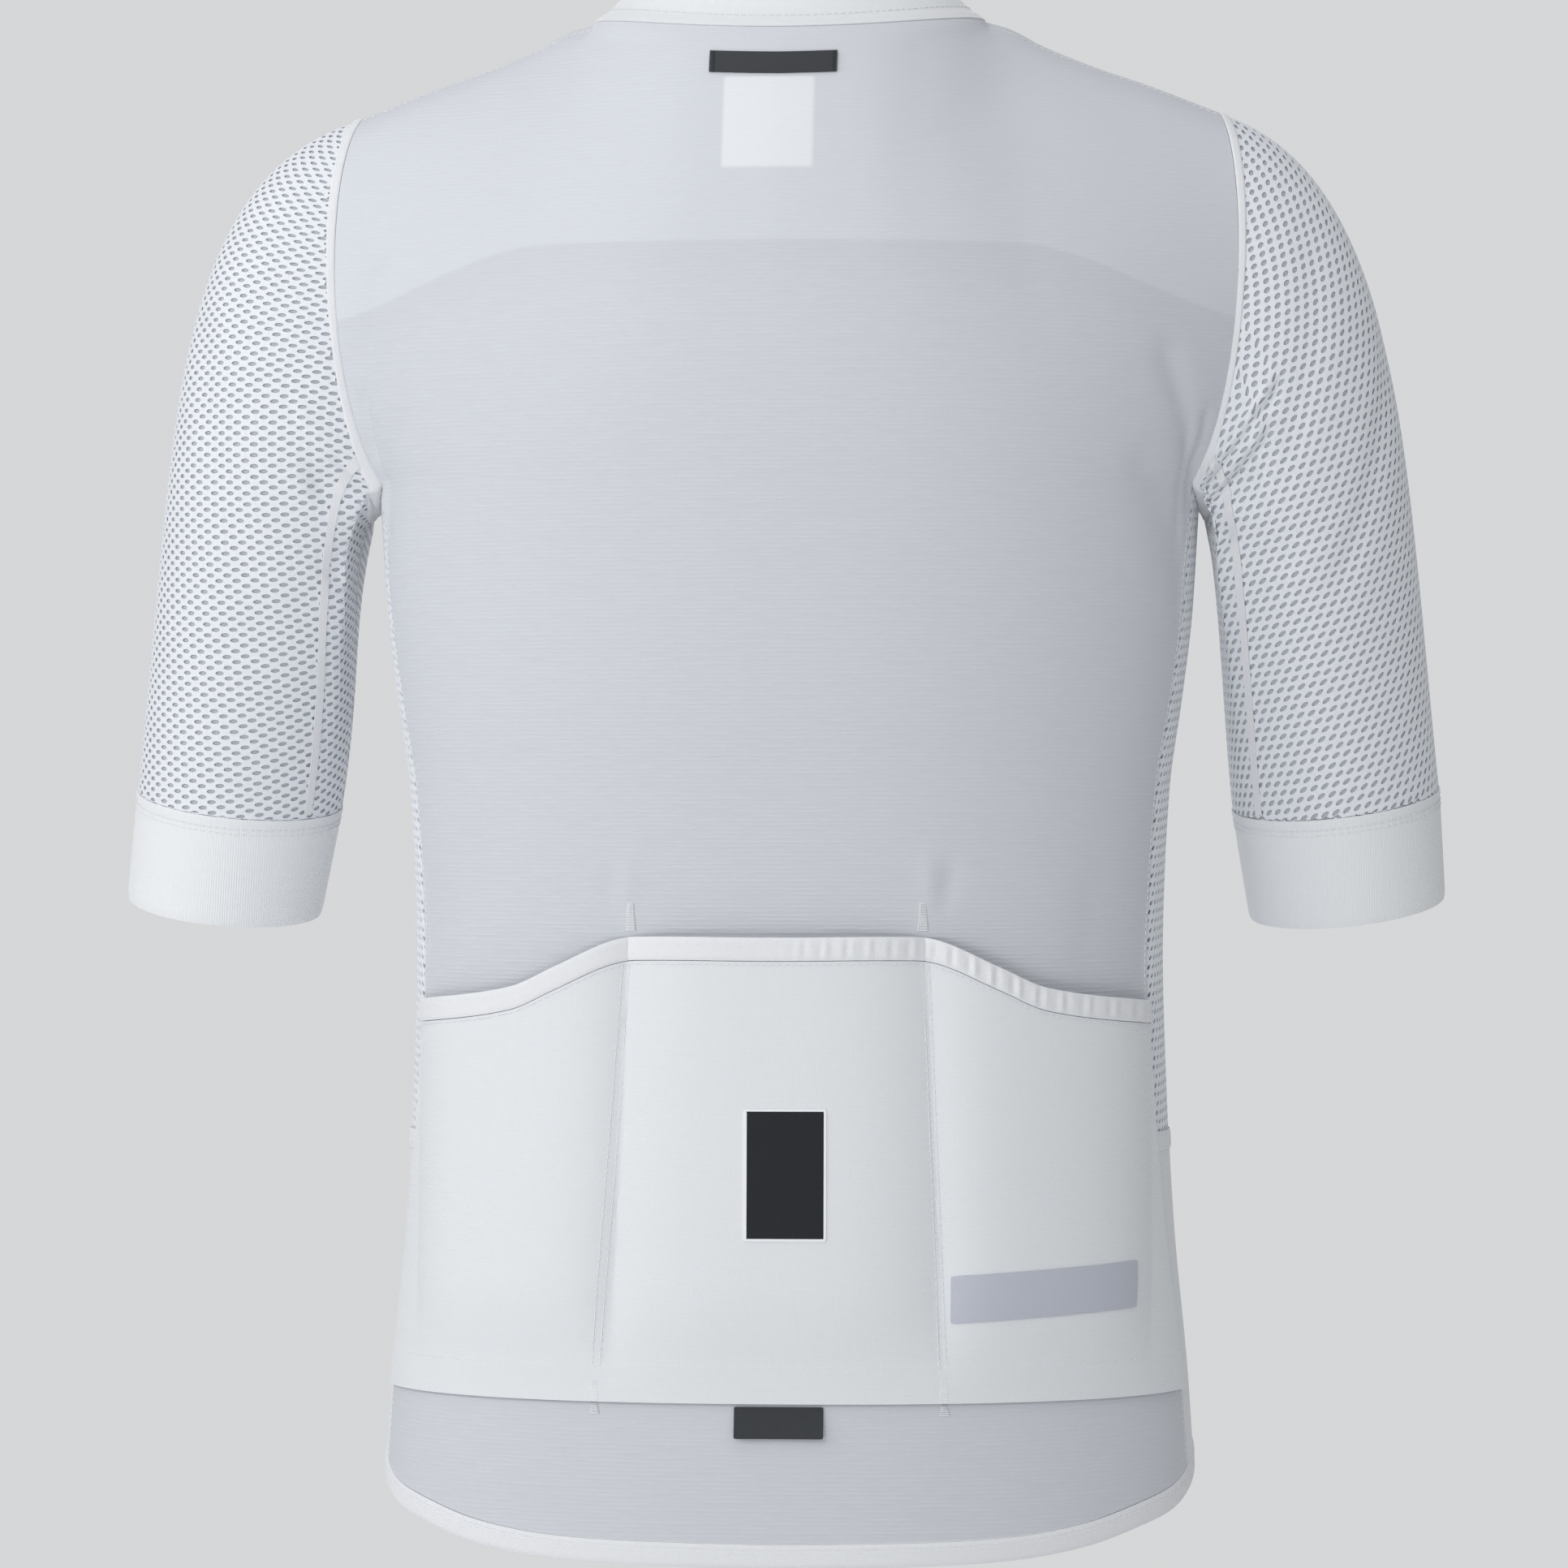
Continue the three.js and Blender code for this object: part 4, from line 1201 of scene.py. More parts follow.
@dataclass(frozen=True)
class Finishes:
    """Every finish of the jersey."""

    back: BackFinish = BackFinish(
        "ribbed_back", "ribbed_cloth", RIBBED, Weave.CROSS_RIB, 0.00185, 0.0002, from_map=False
    )
    ribbed: ClothFinish = ClothFinish(
        "ribbed_front", "ribbed_cloth", RIBBED, Weave.CROSS_RIB, 0.00185, 0.0002, from_map=False
    )
    smooth: ClothFinish = ClothFinish(
        "smooth_knit", "pocket_cloth", (0.765, 0.785, 0.805), Weave.SMOOTH_KNIT,
        0.0009, 0.00006, 0.6, 0.25, 0.015,
    )
    mesh: ClothFinish = ClothFinish(
        "mesh_knit", "mesh_cloth", (0.8, 0.825, 0.865), Weave.SMOOTH_KNIT,
        0.0008, 0.00005, 0.7, 0.2, 0.015, False,
    )
    # Painted shade: a grey sheet behind the mesh's holes stands in for the shaded inside seen through them.
    backing: ClothFinish = ClothFinish(
        "mesh_backing", "mesh_cloth", (0.51, 0.53, 0.575), Weave.SMOOTH_KNIT, 0.0008, 0.00004, 0.85, 0.1, 0.03
    )
    cuff: ClothFinish = ClothFinish(
        "cuff_knit", "cuff_knit", (0.835, 0.85, 0.87), Weave.UPRIGHT_KNIT, 0.0011, 0.00012, 0.7, 0.25, 0.015
    )
    tape: ClothFinish = ClothFinish(
        "white_tape", "white_tape", (0.82, 0.83, 0.855), Weave.WOVEN, 0.0008, 0.0001, 0.65, 0.2, 0.015
    )
    thread: ClothFinish = ClothFinish(
        "thread", "white_tape", (0.85, 0.86, 0.885), Weave.WOVEN, 0.0004, 0.00004, 0.6, 0.2, 0.02, False
    )
    label: ClothFinish = ClothFinish(
        "charcoal_label", "charcoal_label", (0.042, 0.046, 0.052), Weave.WOVEN,
        0.0006, 0.00008, 0.7, 0.1, 0.08,
    )
    patch: BorderedFinish = BorderedFinish(
        "pocket_patch", "charcoal_label", (0.011, 0.013, 0.017), Weave.WOVEN, 0.0006, 0.00006, 0.6, 0.1, 0.08
    )
    strip: ClothFinish = ClothFinish(
        "grey_strip", "grey_strip", (0.525, 0.545, 0.615), Weave.WOVEN, 0.0007, 0.00005, 0.45, 0.15, 0.02
    )
    coil: HardFinish = HardFinish("zip_coil", "zip_plastic", (0.68, 0.69, 0.71), 0.0, 0.4)
    metal: HardFinish = HardFinish("zip_metal", "zip_metal", (0.62, 0.63, 0.65), 1.0, 0.32)


class Wardrobe:
    """Builds each finish once and dresses pieces in it."""

    def __init__(self, finishes: Finishes) -> None:
        """Keeps the finishes.

        Args:
            finishes: The jersey's finishes.
        """
        self.finishes = finishes
        self.built: dict[str, Material] = {}

    def material(self, finish: Finish) -> Material:
        """A finish's material, made when it is first needed."""
        if finish.name not in self.built:
            self.built[finish.name] = finish.build()
        return self.built[finish.name]

    def dress(
        self,
        piece: Piece,
        finish: Finish,
        nodes: Sequence[str] = (),
        body: str = GARMENT,
    ) -> Piece:
        """Gives a piece its finish, its body and the nodes that it stands for.

        Args:
            piece: The finished piece.
            finish: Its finish.
            nodes: The solids that it replaces.
            body: The body that it rides on.

        Returns:
            The piece.
        """
        piece.data.materials.clear()
        piece.data.materials.append(self.material(finish))
        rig.ride(piece, body)
        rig.slot(piece, finish.slot)
        if nodes:
            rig.replaces(piece, *nodes)
        log.info("%s: %d faces", piece.name, len(piece.data.polygons))
        return piece


# Meshes


def link(name: str, mesh: Mesh) -> Piece:
    """Puts a mesh in the scene as an object at the origin."""
    made = bpy.data.objects.new(name, mesh)
    bpy.context.scene.collection.objects.link(made)
    return made


def plain_mesh(piece: Piece) -> Piece:
    """Turns a piece's live modifiers into plain mesh.

    Args:
        piece: The piece with its modifiers.

    Returns:
        The same piece, with no modifiers.
    """
    bpy.context.view_layer.update()
    graph = bpy.context.evaluated_depsgraph_get()
    mesh = bpy.data.meshes.new_from_object(piece.evaluated_get(graph), depsgraph=graph)
    old = piece.data
    piece.modifiers.clear()
    piece.data = mesh
    bpy.data.meshes.remove(old)
    mesh.name = piece.name
    return piece


def quads_of(rows: int, columns: int, closed: bool = False) -> Array:
    """The faces of a grid of points.

    Args:
        rows: Rows of points.
        columns: Columns of points.
        closed: Whether the last column joins the first.

    Returns:
        The four corners of each face.
    """
    i, j = np.meshgrid(np.arange(columns if closed else columns - 1), np.arange(rows - 1))
    i, j = i.ravel(), j.ravel()
    low, high = j * columns, (j + 1) * columns
    after = (i + 1) % columns
    return np.stack([low + i, low + after, high + after, high + i], 1)


def smooth_shade(mesh: Mesh, angle: float = 50.0) -> None:
    """Shades a mesh smoothly but for its sharp edges."""
    mesh.polygons.foreach_set("use_smooth", np.ones(len(mesh.polygons), bool))
    mesh.set_sharp_from_angle(angle=math.radians(angle))


@dataclass
class ClothWall:
    """A closed wall of cloth on a grid of points.

    Args:
        name: The piece's name.
        places: Grid of points in mm, rows by columns.
        inner: Points inside the garment, of the same shape.
        thickness: The cloth's thickness in mm.
        closed: Whether the columns run all the way round.
        offset: How far it is moved outwards, in mm, one value or a grid.
        swell: Extra thickness of its middle rows outwards, in mm, which rounds its edges.
    """

    name: str
    places: Array
    inner: Array
    thickness: float
    closed: bool = False
    offset: Array | float = 0.0
    swell: float = 0.0
    outward: Array = field(init=False)

    def __post_init__(self) -> None:
        """Works out the unit normals, pointing outwards."""
        grid = self.places
        if self.closed:
            du = np.roll(grid, -1, axis=1) - np.roll(grid, 1, axis=1)
        else:
            du = np.gradient(grid, axis=1)
        normal = unit(np.cross(du, np.gradient(grid, axis=0)))
        away = np.sum(normal * (grid - self.inner), axis=-1)
        self.flipped = bool(np.median(away) < 0)
        self.outward = -normal if self.flipped else normal

    def lengths(self) -> tuple[Array, Array]:
        """Running lengths across and along the grid, in mm, with one more column if closed."""
        grid = self.places
        if self.closed:
            grid = np.concatenate([grid, grid[:, :1]], axis=1)
        across = np.linalg.norm(np.diff(grid, axis=1), axis=-1)
        along = np.linalg.norm(np.diff(grid, axis=0), axis=-1)
        x = np.concatenate([np.zeros((grid.shape[0], 1)), np.cumsum(across, axis=1)], axis=1)
        y = np.concatenate([np.zeros((1, grid.shape[1])), np.cumsum(along, axis=0)], axis=0)
        return x, y

    def cut(self) -> tuple[Pair, float]:
        """The flat size and area of the cloth.

        Returns:
            Width and length in metres, and the area in square metres.
        """
        x, y = self.lengths()
        width, length = float(x[:, -1].max()), float(y[-1].max())
        dx = np.diff(x, axis=1)
        dy = np.diff(y, axis=0)
        area = float(np.sum((dx[:-1] + dx[1:]) / 2 * (dy[:, :-1] + dy[:, 1:]) / 2))
        return (width * MM, length * MM), min(area, width * length) * MM * MM

    def build(self) -> Piece:
        """Builds the wall.

        Returns:
            The piece, shaded smoothly, with a cloth map in metres.
        """
        rows, columns = self.places.shape[:2]
        share = np.linspace(0, 1, rows)[:, None]
        profile = self.swell * np.sqrt(np.maximum(0, 1 - (2 * share - 1) ** 4))
        middle = np.broadcast_to(np.asarray(self.offset, float), (rows, columns))
        layers = [middle - self.thickness / 2, middle + self.thickness / 2 + profile]
        vertices = np.concatenate(
            [(self.places + layer[..., None] * self.outward).reshape(-1, 3) for layer in layers]
        )
        count = rows * columns
        quad = quads_of(rows, columns, self.closed)
        faces = [quad[:, ::-1], quad + count]
        k = np.arange(columns if self.closed else columns - 1)
        kn = (k + 1) % columns
        top = (rows - 1) * columns
        faces.append(np.stack([k, kn, kn + count, k + count], 1))
        faces.append(np.stack([top + kn, top + k, top + k + count, top + kn + count], 1))
        if not self.closed:
            m = np.arange(rows - 1) * columns
            faces.append(np.stack([m + columns, m, m + count, m + columns + count], 1))
            last = m + columns - 1
            faces.append(np.stack([last, last + columns, last + columns + count, last + count], 1))
        polygons = np.concatenate(faces)
        if self.flipped:
            polygons = polygons[:, ::-1]
        mesh = bpy.data.meshes.new(self.name)
        mesh.from_pydata((vertices * MM).tolist(), [], polygons.tolist())
        self.add_map(mesh, polygons % count, columns)
        smooth_shade(mesh)
        return link(self.name, mesh)

    def add_map(self, mesh: Mesh, corners: Array, columns: int) -> None:
        """Adds the cloth map, in metres of cloth across and along.

        Args:
            mesh: The mesh.
            corners: The grid place of each face's corners.
            columns: The number of columns.
        """
        x, y = self.lengths()
        row, column = corners // columns, corners % columns
        if self.closed:
            wraps = (column.max(axis=1) == columns - 1) & (column.min(axis=1) == 0)
            column = np.where(wraps[:, None] & (column == 0), columns, column)
        layer = mesh.uv_layers.new(name="cloth")
        uv = np.stack([x[row, column], y[row, column]], axis=-1) * MM
        layer.data.foreach_set("uv", uv.astype(np.float32).ravel())


def grid(
    across: Sequence[float], along: Sequence[float], steps: Steps, closed: bool = False
) -> tuple[Array, Array]:
    """Two grids of shares, rows by columns, with the last column left out if closed.

    Args:
        across: First and last share across.
        along: First and last share along.
        steps: Steps across and along.
        closed: Whether the columns run all the way round.

    Returns:
        The shares across and along.
    """
    u = np.linspace(across[0], across[1], steps[0] + 1)
    if closed:
        u = u[:-1]
    return np.meshgrid(u, np.linspace(along[0], along[1], steps[1] + 1))


def declare(
    piece: Piece,
    wall: ClothWall,
    with_pieces: Sequence[Piece] = (),
    solid_share: float = 1.0,
) -> None:
    """States a cloth piece's cut.

    Args:
        piece: The cloth piece.
        wall: The wall that has the cut's measures.
        with_pieces: The pieces sewn on it.
        solid_share: The share of the cut that its holes leave.
    """
    flat, area = wall.cut()
    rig.sheet(piece, flat=flat, held="draped", area=area * solid_share, with_pieces=list(with_pieces))


# Geometry Nodes


class NodeTree(Nodes):
    """A Geometry Nodes tree being built, with named inputs."""

    def __init__(self, name: str) -> None:
        """Starts a tree with a mesh going in and one coming out.

        Args:
            name: The tree's name.
        """
        super().__init__(bpy.data.node_groups.new(name, "GeometryNodeTree"))
        for way in ("INPUT", "OUTPUT"):
            self.tree.interface.new_socket("Geometry", in_out=way, socket_type="NodeSocketGeometry")
        self.source = self.node("NodeGroupInput")
        self.result = self.node("NodeGroupOutput")

    def input(self, name: str, kind: str) -> Socket:
        """Adds a named input and returns its socket inside the tree."""
        self.tree.interface.new_socket(name, in_out="INPUT", socket_type=kind)
        return self.source.outputs[name]

    def attribute(self, name: str) -> Socket:
        """A vector attribute of the geometry."""
        made = self.node("GeometryNodeInputNamedAttribute", {"Name": name}, data_type="FLOAT_VECTOR")
        return made.outputs["Attribute"]

    def finish(self, geometry: Socket, material: Socket) -> None:
        """Realizes the instances, sets their material and ends the tree."""
        real = self.node("GeometryNodeRealizeInstances", {0: geometry})
        dressed = self.node("GeometryNodeSetMaterial", {"Geometry": real.outputs[0], "Material": material})
        self.feed(self.result.inputs[0], dressed.outputs[0])

    def apply(self, piece: Piece, values: dict[str, object]) -> Piece:
        """Runs the tree on a piece and turns the result into plain mesh.

        Args:
            piece: The piece that holds the source mesh.
            values: The tree's inputs by name.

        Returns:
            The piece with its new mesh.
        """
        modifier = piece.modifiers.new(self.tree.name, "NODES")
        modifier.node_group = self.tree
        sockets = {s.name: s.identifier for s in self.tree.interface.items_tree if s.in_out == "INPUT"}
        for name, value in values.items():
            modifier[sockets[name]] = value
        return plain_mesh(piece)


def path_tree() -> NodeTree:
    """A tree that repeats a small shape along paths.

    Returns:
        The tree, with inputs for the shape, the spacing, the lift off the cloth and the material.
    """
    tree = NodeTree("repeat_along_path")
    shape = tree.input("Shape", "NodeSocketObject")
    spacing = tree.input("Spacing", "NodeSocketFloat")
    lift = tree.input("Lift", "NodeSocketFloat")
    material = tree.input("Material", "NodeSocketMaterial")
    curve = tree.node("GeometryNodeMeshToCurve", {"Mesh": tree.source.outputs[0]})
    even = tree.node(
        "GeometryNodeResampleCurve", {"Curve": curve.outputs[0], "Length": spacing}, mode="LENGTH"
    )
    tangent = tree.node("GeometryNodeInputTangent").outputs[0]
    out = tree.attribute("out")
    along = tree.node("FunctionNodeAlignRotationToVector", {"Vector": tangent}, axis="X")
    turned = tree.node(
        "FunctionNodeAlignRotationToVector",
        {"Rotation": along.outputs[0], "Vector": out},
        axis="Z",
        pivot_axis="X",
    )
    shift = tree.node("ShaderNodeVectorMath", {0: out, "Scale": lift}, operation="SCALE")
    moved = tree.node("GeometryNodeSetPosition", {"Geometry": even.outputs[0], "Offset": shift.outputs[0]})
    info = tree.node("GeometryNodeObjectInfo", {"Object": shape})
    copies = tree.node(
        "GeometryNodeInstanceOnPoints",
        {"Points": moved.outputs[0], "Instance": info.outputs["Geometry"], "Rotation": turned.outputs[0]},
    )
    tree.finish(copies.outputs[0], material)
    return tree


def lattice_tree() -> NodeTree:
    """A tree that lays a lattice of perforated cells on a flat cut and wraps it on the worn form.

    Returns:
        The tree, with inputs for the cell, pitches, counts, turn, centre, reach and material.
    """
    tree = NodeTree("perforated_lattice")
    cell = tree.input("Cell", "NodeSocketObject")
    pitch = tree.input("Pitch", "NodeSocketFloat")
    row = tree.input("Row pitch", "NodeSocketFloat")
    columns = tree.input("Columns", "NodeSocketInt")
    rows = tree.input("Rows", "NodeSocketInt")
    turn = tree.input("Turn", "NodeSocketFloat")
    centre = tree.input("Centre", "NodeSocketVector")
    reach = tree.input("Reach", "NodeSocketFloat")
    material = tree.input("Material", "NodeSocketMaterial")
    flat = tree.source.outputs[0]
    wide = tree.times(pitch, tree.less(columns, 1.0))
    double = tree.times(row, 2.0)
    high = tree.times(double, tree.less(rows, 1.0))
    even = tree.node(
        "GeometryNodeMeshGrid", {"Size X": wide, "Size Y": high, "Vertices X": columns, "Vertices Y": rows}
    )
    half = tree.node("ShaderNodeCombineXYZ", {0: tree.times(pitch, 0.5), 1: row})
    odd = tree.node("GeometryNodeTransform", {"Geometry": even.outputs[0], "Translation": half.outputs[0]})
    both = tree.node("GeometryNodeJoinGeometry")
    tree.feed(both.inputs[0], even.outputs[0])
    tree.feed(both.inputs[0], odd.outputs[0])
    angle = tree.node("ShaderNodeCombineXYZ", {2: turn})
    laid = tree.node(
        "GeometryNodeTransform",
        {"Geometry": both.outputs[0], "Translation": centre, "Rotation": angle.outputs[0]},
    )
    near = tree.node("GeometryNodeProximity", {0: flat}, target_element="FACES")
    far = tree.node("FunctionNodeCompare", {0: near.outputs["Distance"], 1: reach}, operation="GREATER_THAN")
    holes = {"Geometry": laid.outputs[0], "Selection": far.outputs[0]}
    kept = tree.node("GeometryNodeDeleteGeometry", holes, domain="POINT")
    info = tree.node("GeometryNodeObjectInfo", {"Object": cell})
    copies = tree.node(
        "GeometryNodeInstanceOnPoints",
        {"Points": kept.outputs[0], "Instance": info.outputs["Geometry"], "Rotation": angle.outputs[0]},
    )
    real = tree.node("GeometryNodeRealizeInstances", {0: copies.outputs[0]})
    joined = tree.node("GeometryNodeMergeByDistance", {"Geometry": real.outputs[0], "Distance": 0.00005})
    worn = tree.node(
        "GeometryNodeSampleNearestSurface",
        {"Mesh": flat, "Value": tree.attribute("place")},
        data_type="FLOAT_VECTOR",
    )
    wrapped = tree.node(
        "GeometryNodeSetPosition", {"Geometry": joined.outputs[0], "Position": worn.outputs["Value"]}
    )
    tree.finish(wrapped.outputs[0], material)
    return tree


def shape_object(
    name: str, vertices: Sequence[Sequence[float]], faces: Sequence[Sequence[int]]
) -> Piece:
    """A small shape that a tree repeats, in metres, to be removed afterwards.

    Args:
        name: Its name.
        vertices: Its corners.
        faces: The corners of each face.

    Returns:
        The shape.
    """
    mesh = bpy.data.meshes.new(name)
    mesh.from_pydata([tuple(v) for v in vertices], [], [tuple(f) for f in faces])
    mesh.polygons.foreach_set("use_smooth", np.ones(len(mesh.polygons), bool))
    return link(name, mesh)


def spindle(
    name: str, rings: Sequence[Pair], sides: int, flat: float = 1.0
) -> Piece:
    """A round-ended bar along X.

    Args:
        name: Its name.
        rings: Place along X and radius of each ring, in mm.
        sides: Number of sides.
        flat: Height as a share of its width.

    Returns:
        The shape.
    """
    vertices = []
    for x, radius in rings:
        for k in range(sides):
            angle = 2 * math.pi * k / sides
            vertices.append((x * MM, radius * MM * math.cos(angle), radius * MM * flat * math.sin(angle)))
    faces = []
    for r in range(len(rings) - 1):
        for k in range(sides):
            n = (k + 1) % sides
            faces.append((r * sides + k, (r + 1) * sides + k, (r + 1) * sides + n, r * sides + n))
    faces.append(tuple(range(sides)))
    faces.append(tuple(reversed(range((len(rings) - 1) * sides, len(rings) * sides))))
    return shape_object(name, vertices, [tuple(reversed(f)) for f in faces])


@dataclass
class PathWork:
    """Sewing or teeth: paths over the cloth on which a shape is repeated."""

    tree: NodeTree
    wardrobe: Wardrobe

    def run(
        self,
        name: str,
        paths: Sequence[tuple[Array, Array]],
        shape: Piece,
        spacing: float,
        lift: float,
        finish: Finish,
    ) -> Piece:
        """Repeats a shape along paths.

        Args:
            name: The piece's name.
            paths: Points in mm and outward normals of each path.
            shape: The shape to repeat.
            spacing: Distance between copies, in mm.
            lift: How far they stand off the path, in mm.
            finish: Their finish.

        Returns:
            The piece, dressed and riding on the garment.
        """
        mesh = bpy.data.meshes.new(name)
        vertices = np.concatenate([p for p, _ in paths]) * MM
        edges, start = [], 0
        for place, _ in paths:
            edges += [(start + k, start + k + 1) for k in range(len(place) - 1)]
            start += len(place)
        mesh.from_pydata(vertices.tolist(), edges, [])
        out = mesh.attributes.new("out", "FLOAT_VECTOR", "POINT")
        out.data.foreach_set("vector", np.concatenate([n for _, n in paths]).astype(np.float32).ravel())
        piece = link(name, mesh)
        self.tree.apply(
            piece,
            {
                "Shape": shape,
                "Spacing": spacing * MM,
                "Lift": lift * MM,
                "Material": self.wardrobe.material(finish),
            },
        )
        return self.wardrobe.dress(piece, finish)


def path_on(surface: Surface, u: Array, v: Array, inner: Array | None = None) -> tuple[Array, Array]:
    """A path over a surface, with its outward normals.

    Args:
        surface: The surface.
        u: First shares.
        v: Second shares.
        inner: Points inside it, worked out for the torso if left out.

    Returns:
        The points and their normals.
    """
    u, v = spread(u, v)
    place = surface(u, v)
    if inner is None:
        inner = points(place[..., 0] * 0.4, 0, np.minimum(place[..., 2], -100))
    return place, normals_of(surface, u, v, inner)


# Sub-assemblies


@dataclass
class Workshop:
    """What every sub-assembly needs to make its pieces."""

    form: Form
    wardrobe: Wardrobe
    sewing: PathWork
    stitch: Piece
    bar: Piece
    cloth: float = 0.9
    stitch_spacing: float = 3.1

    @property
    def finishes(self) -> Finishes:
        """The jersey's finishes."""
        return self.wardrobe.finishes

    def make(
        self, wall: ClothWall, finish: Finish, nodes: Sequence[str] = ()
    ) -> Piece:
        """Builds a wall and dresses it in its finish, in place of its solids."""
        return self.wardrobe.dress(wall.build(), finish, nodes)

    def sew(self, name: str, paths: Sequence[tuple[Array, Array]], lift: float) -> Piece:
        """Sews topstitching along paths, standing off them by a lift in mm."""
        thread = self.finishes.thread
        return self.sewing.run(name, paths, self.stitch, self.stitch_spacing, lift, thread)


@dataclass
class Panels:
    """The back and the two fronts.

    Args:
        shop: The workshop.
        front_edge: Share of the half width where a front's edge stands off the zip.
        trims: Trims of the side seam, the armhole and the top, in shares.
        back_steps: Steps of the back across and up.
        front_steps: Steps of a front across and up.
    """

    shop: Workshop
    front_edge: float = 0.0105
    trims: tuple[float, float, float] = (0.0004, 0.0014, 0.0016)
    back_steps: Steps = (150, 160)
    front_steps: Steps = (48, 120)

    def trimmed(self, across: Array, rise: Array) -> Array:
        """Shares across, drawn in a little at the armhole and the side seam."""
        trim = lerp(self.trims[0], self.trims[1], smoothstep(rise, 0.98, 1.05))
        return across * (1 - trim)

    def eased(self, place: Array, across: Array, rise: Array) -> Array:
        """Evens out the ridges that run from the neck's ends down the upper back.

        Args:
            place: The points of the back.
            across: Their shares across.
            rise: Their shares up.

        Returns:
            The eased points.
        """
        soft = place.copy()
        for _ in range(50):
            soft[:, 1:-1] = (soft[:, :-2] + 2 * soft[:, 1:-1] + soft[:, 2:]) / 4
        aside = np.abs(across)
        share = smoothstep(rise, 1.3, 1.6) * (1 - smoothstep(rise, 1.9, 1.985))
        share = share * smoothstep(aside, 0.14, 0.26) * (1 - smoothstep(aside, 0.7, 0.88))
        return lerp(place, soft, share[..., None])

    def build(self) -> None:
        """Makes the back and fronts with their topstitching."""
        form, shop = self.shop.form, self.shop
        u, v = grid((-1, 1), (0, 2 - self.trims[2]), self.back_steps)
        place = self.eased(form.back(self.trimmed(u, v), v), u, v)
        wall = ClothWall("jersey_back", place, form.torso_inner(place), shop.cloth)
        back = shop.make(wall, shop.finishes.back, ["back_panel"])
        declare(back, wall)
        for hand in Hand:
            u, v = grid((self.front_edge, 1), (0, 2 - self.trims[2]), self.front_steps)
            place = form.panel(Face.FRONT, hand, self.trimmed(u, v), v)
            wall = ClothWall(f"jersey_front_{hand.side}", place, form.torso_inner(place), shop.cloth)
            front = shop.make(wall, shop.finishes.ribbed, [f"front_{hand.side}"])
            declare(front, wall)
        self.stitch()

    def stitch(self) -> None:
        """Sews the shoulder seams, the side seams and the zip's edges."""
        form, shop = self.shop.form, self.shop
        run = np.linspace(0, 1, 120)
        seams = []
        for hand in Hand:
            for face in Face:
                def surface(a: Array, r: Array, face: Face = face, hand: Hand = hand) -> Array:
                    """The face with its folds."""
                    return form.panel(face, hand, a, r)

                seams.append(path_on(surface, lerp(form.neck_share + 0.01, 0.985, run), 1.972 + 0 * run))
                seams.append(path_on(surface, 0.988 + 0 * run, lerp(0.01, 0.96, run)))
                if face is Face.FRONT:
                    seams.append(path_on(surface, self.front_edge + 0.012 + 0 * run, lerp(0.0, 1.985, run)))
        shop.sew("topstitch_panels", seams, shop.cloth / 2 + 0.1)


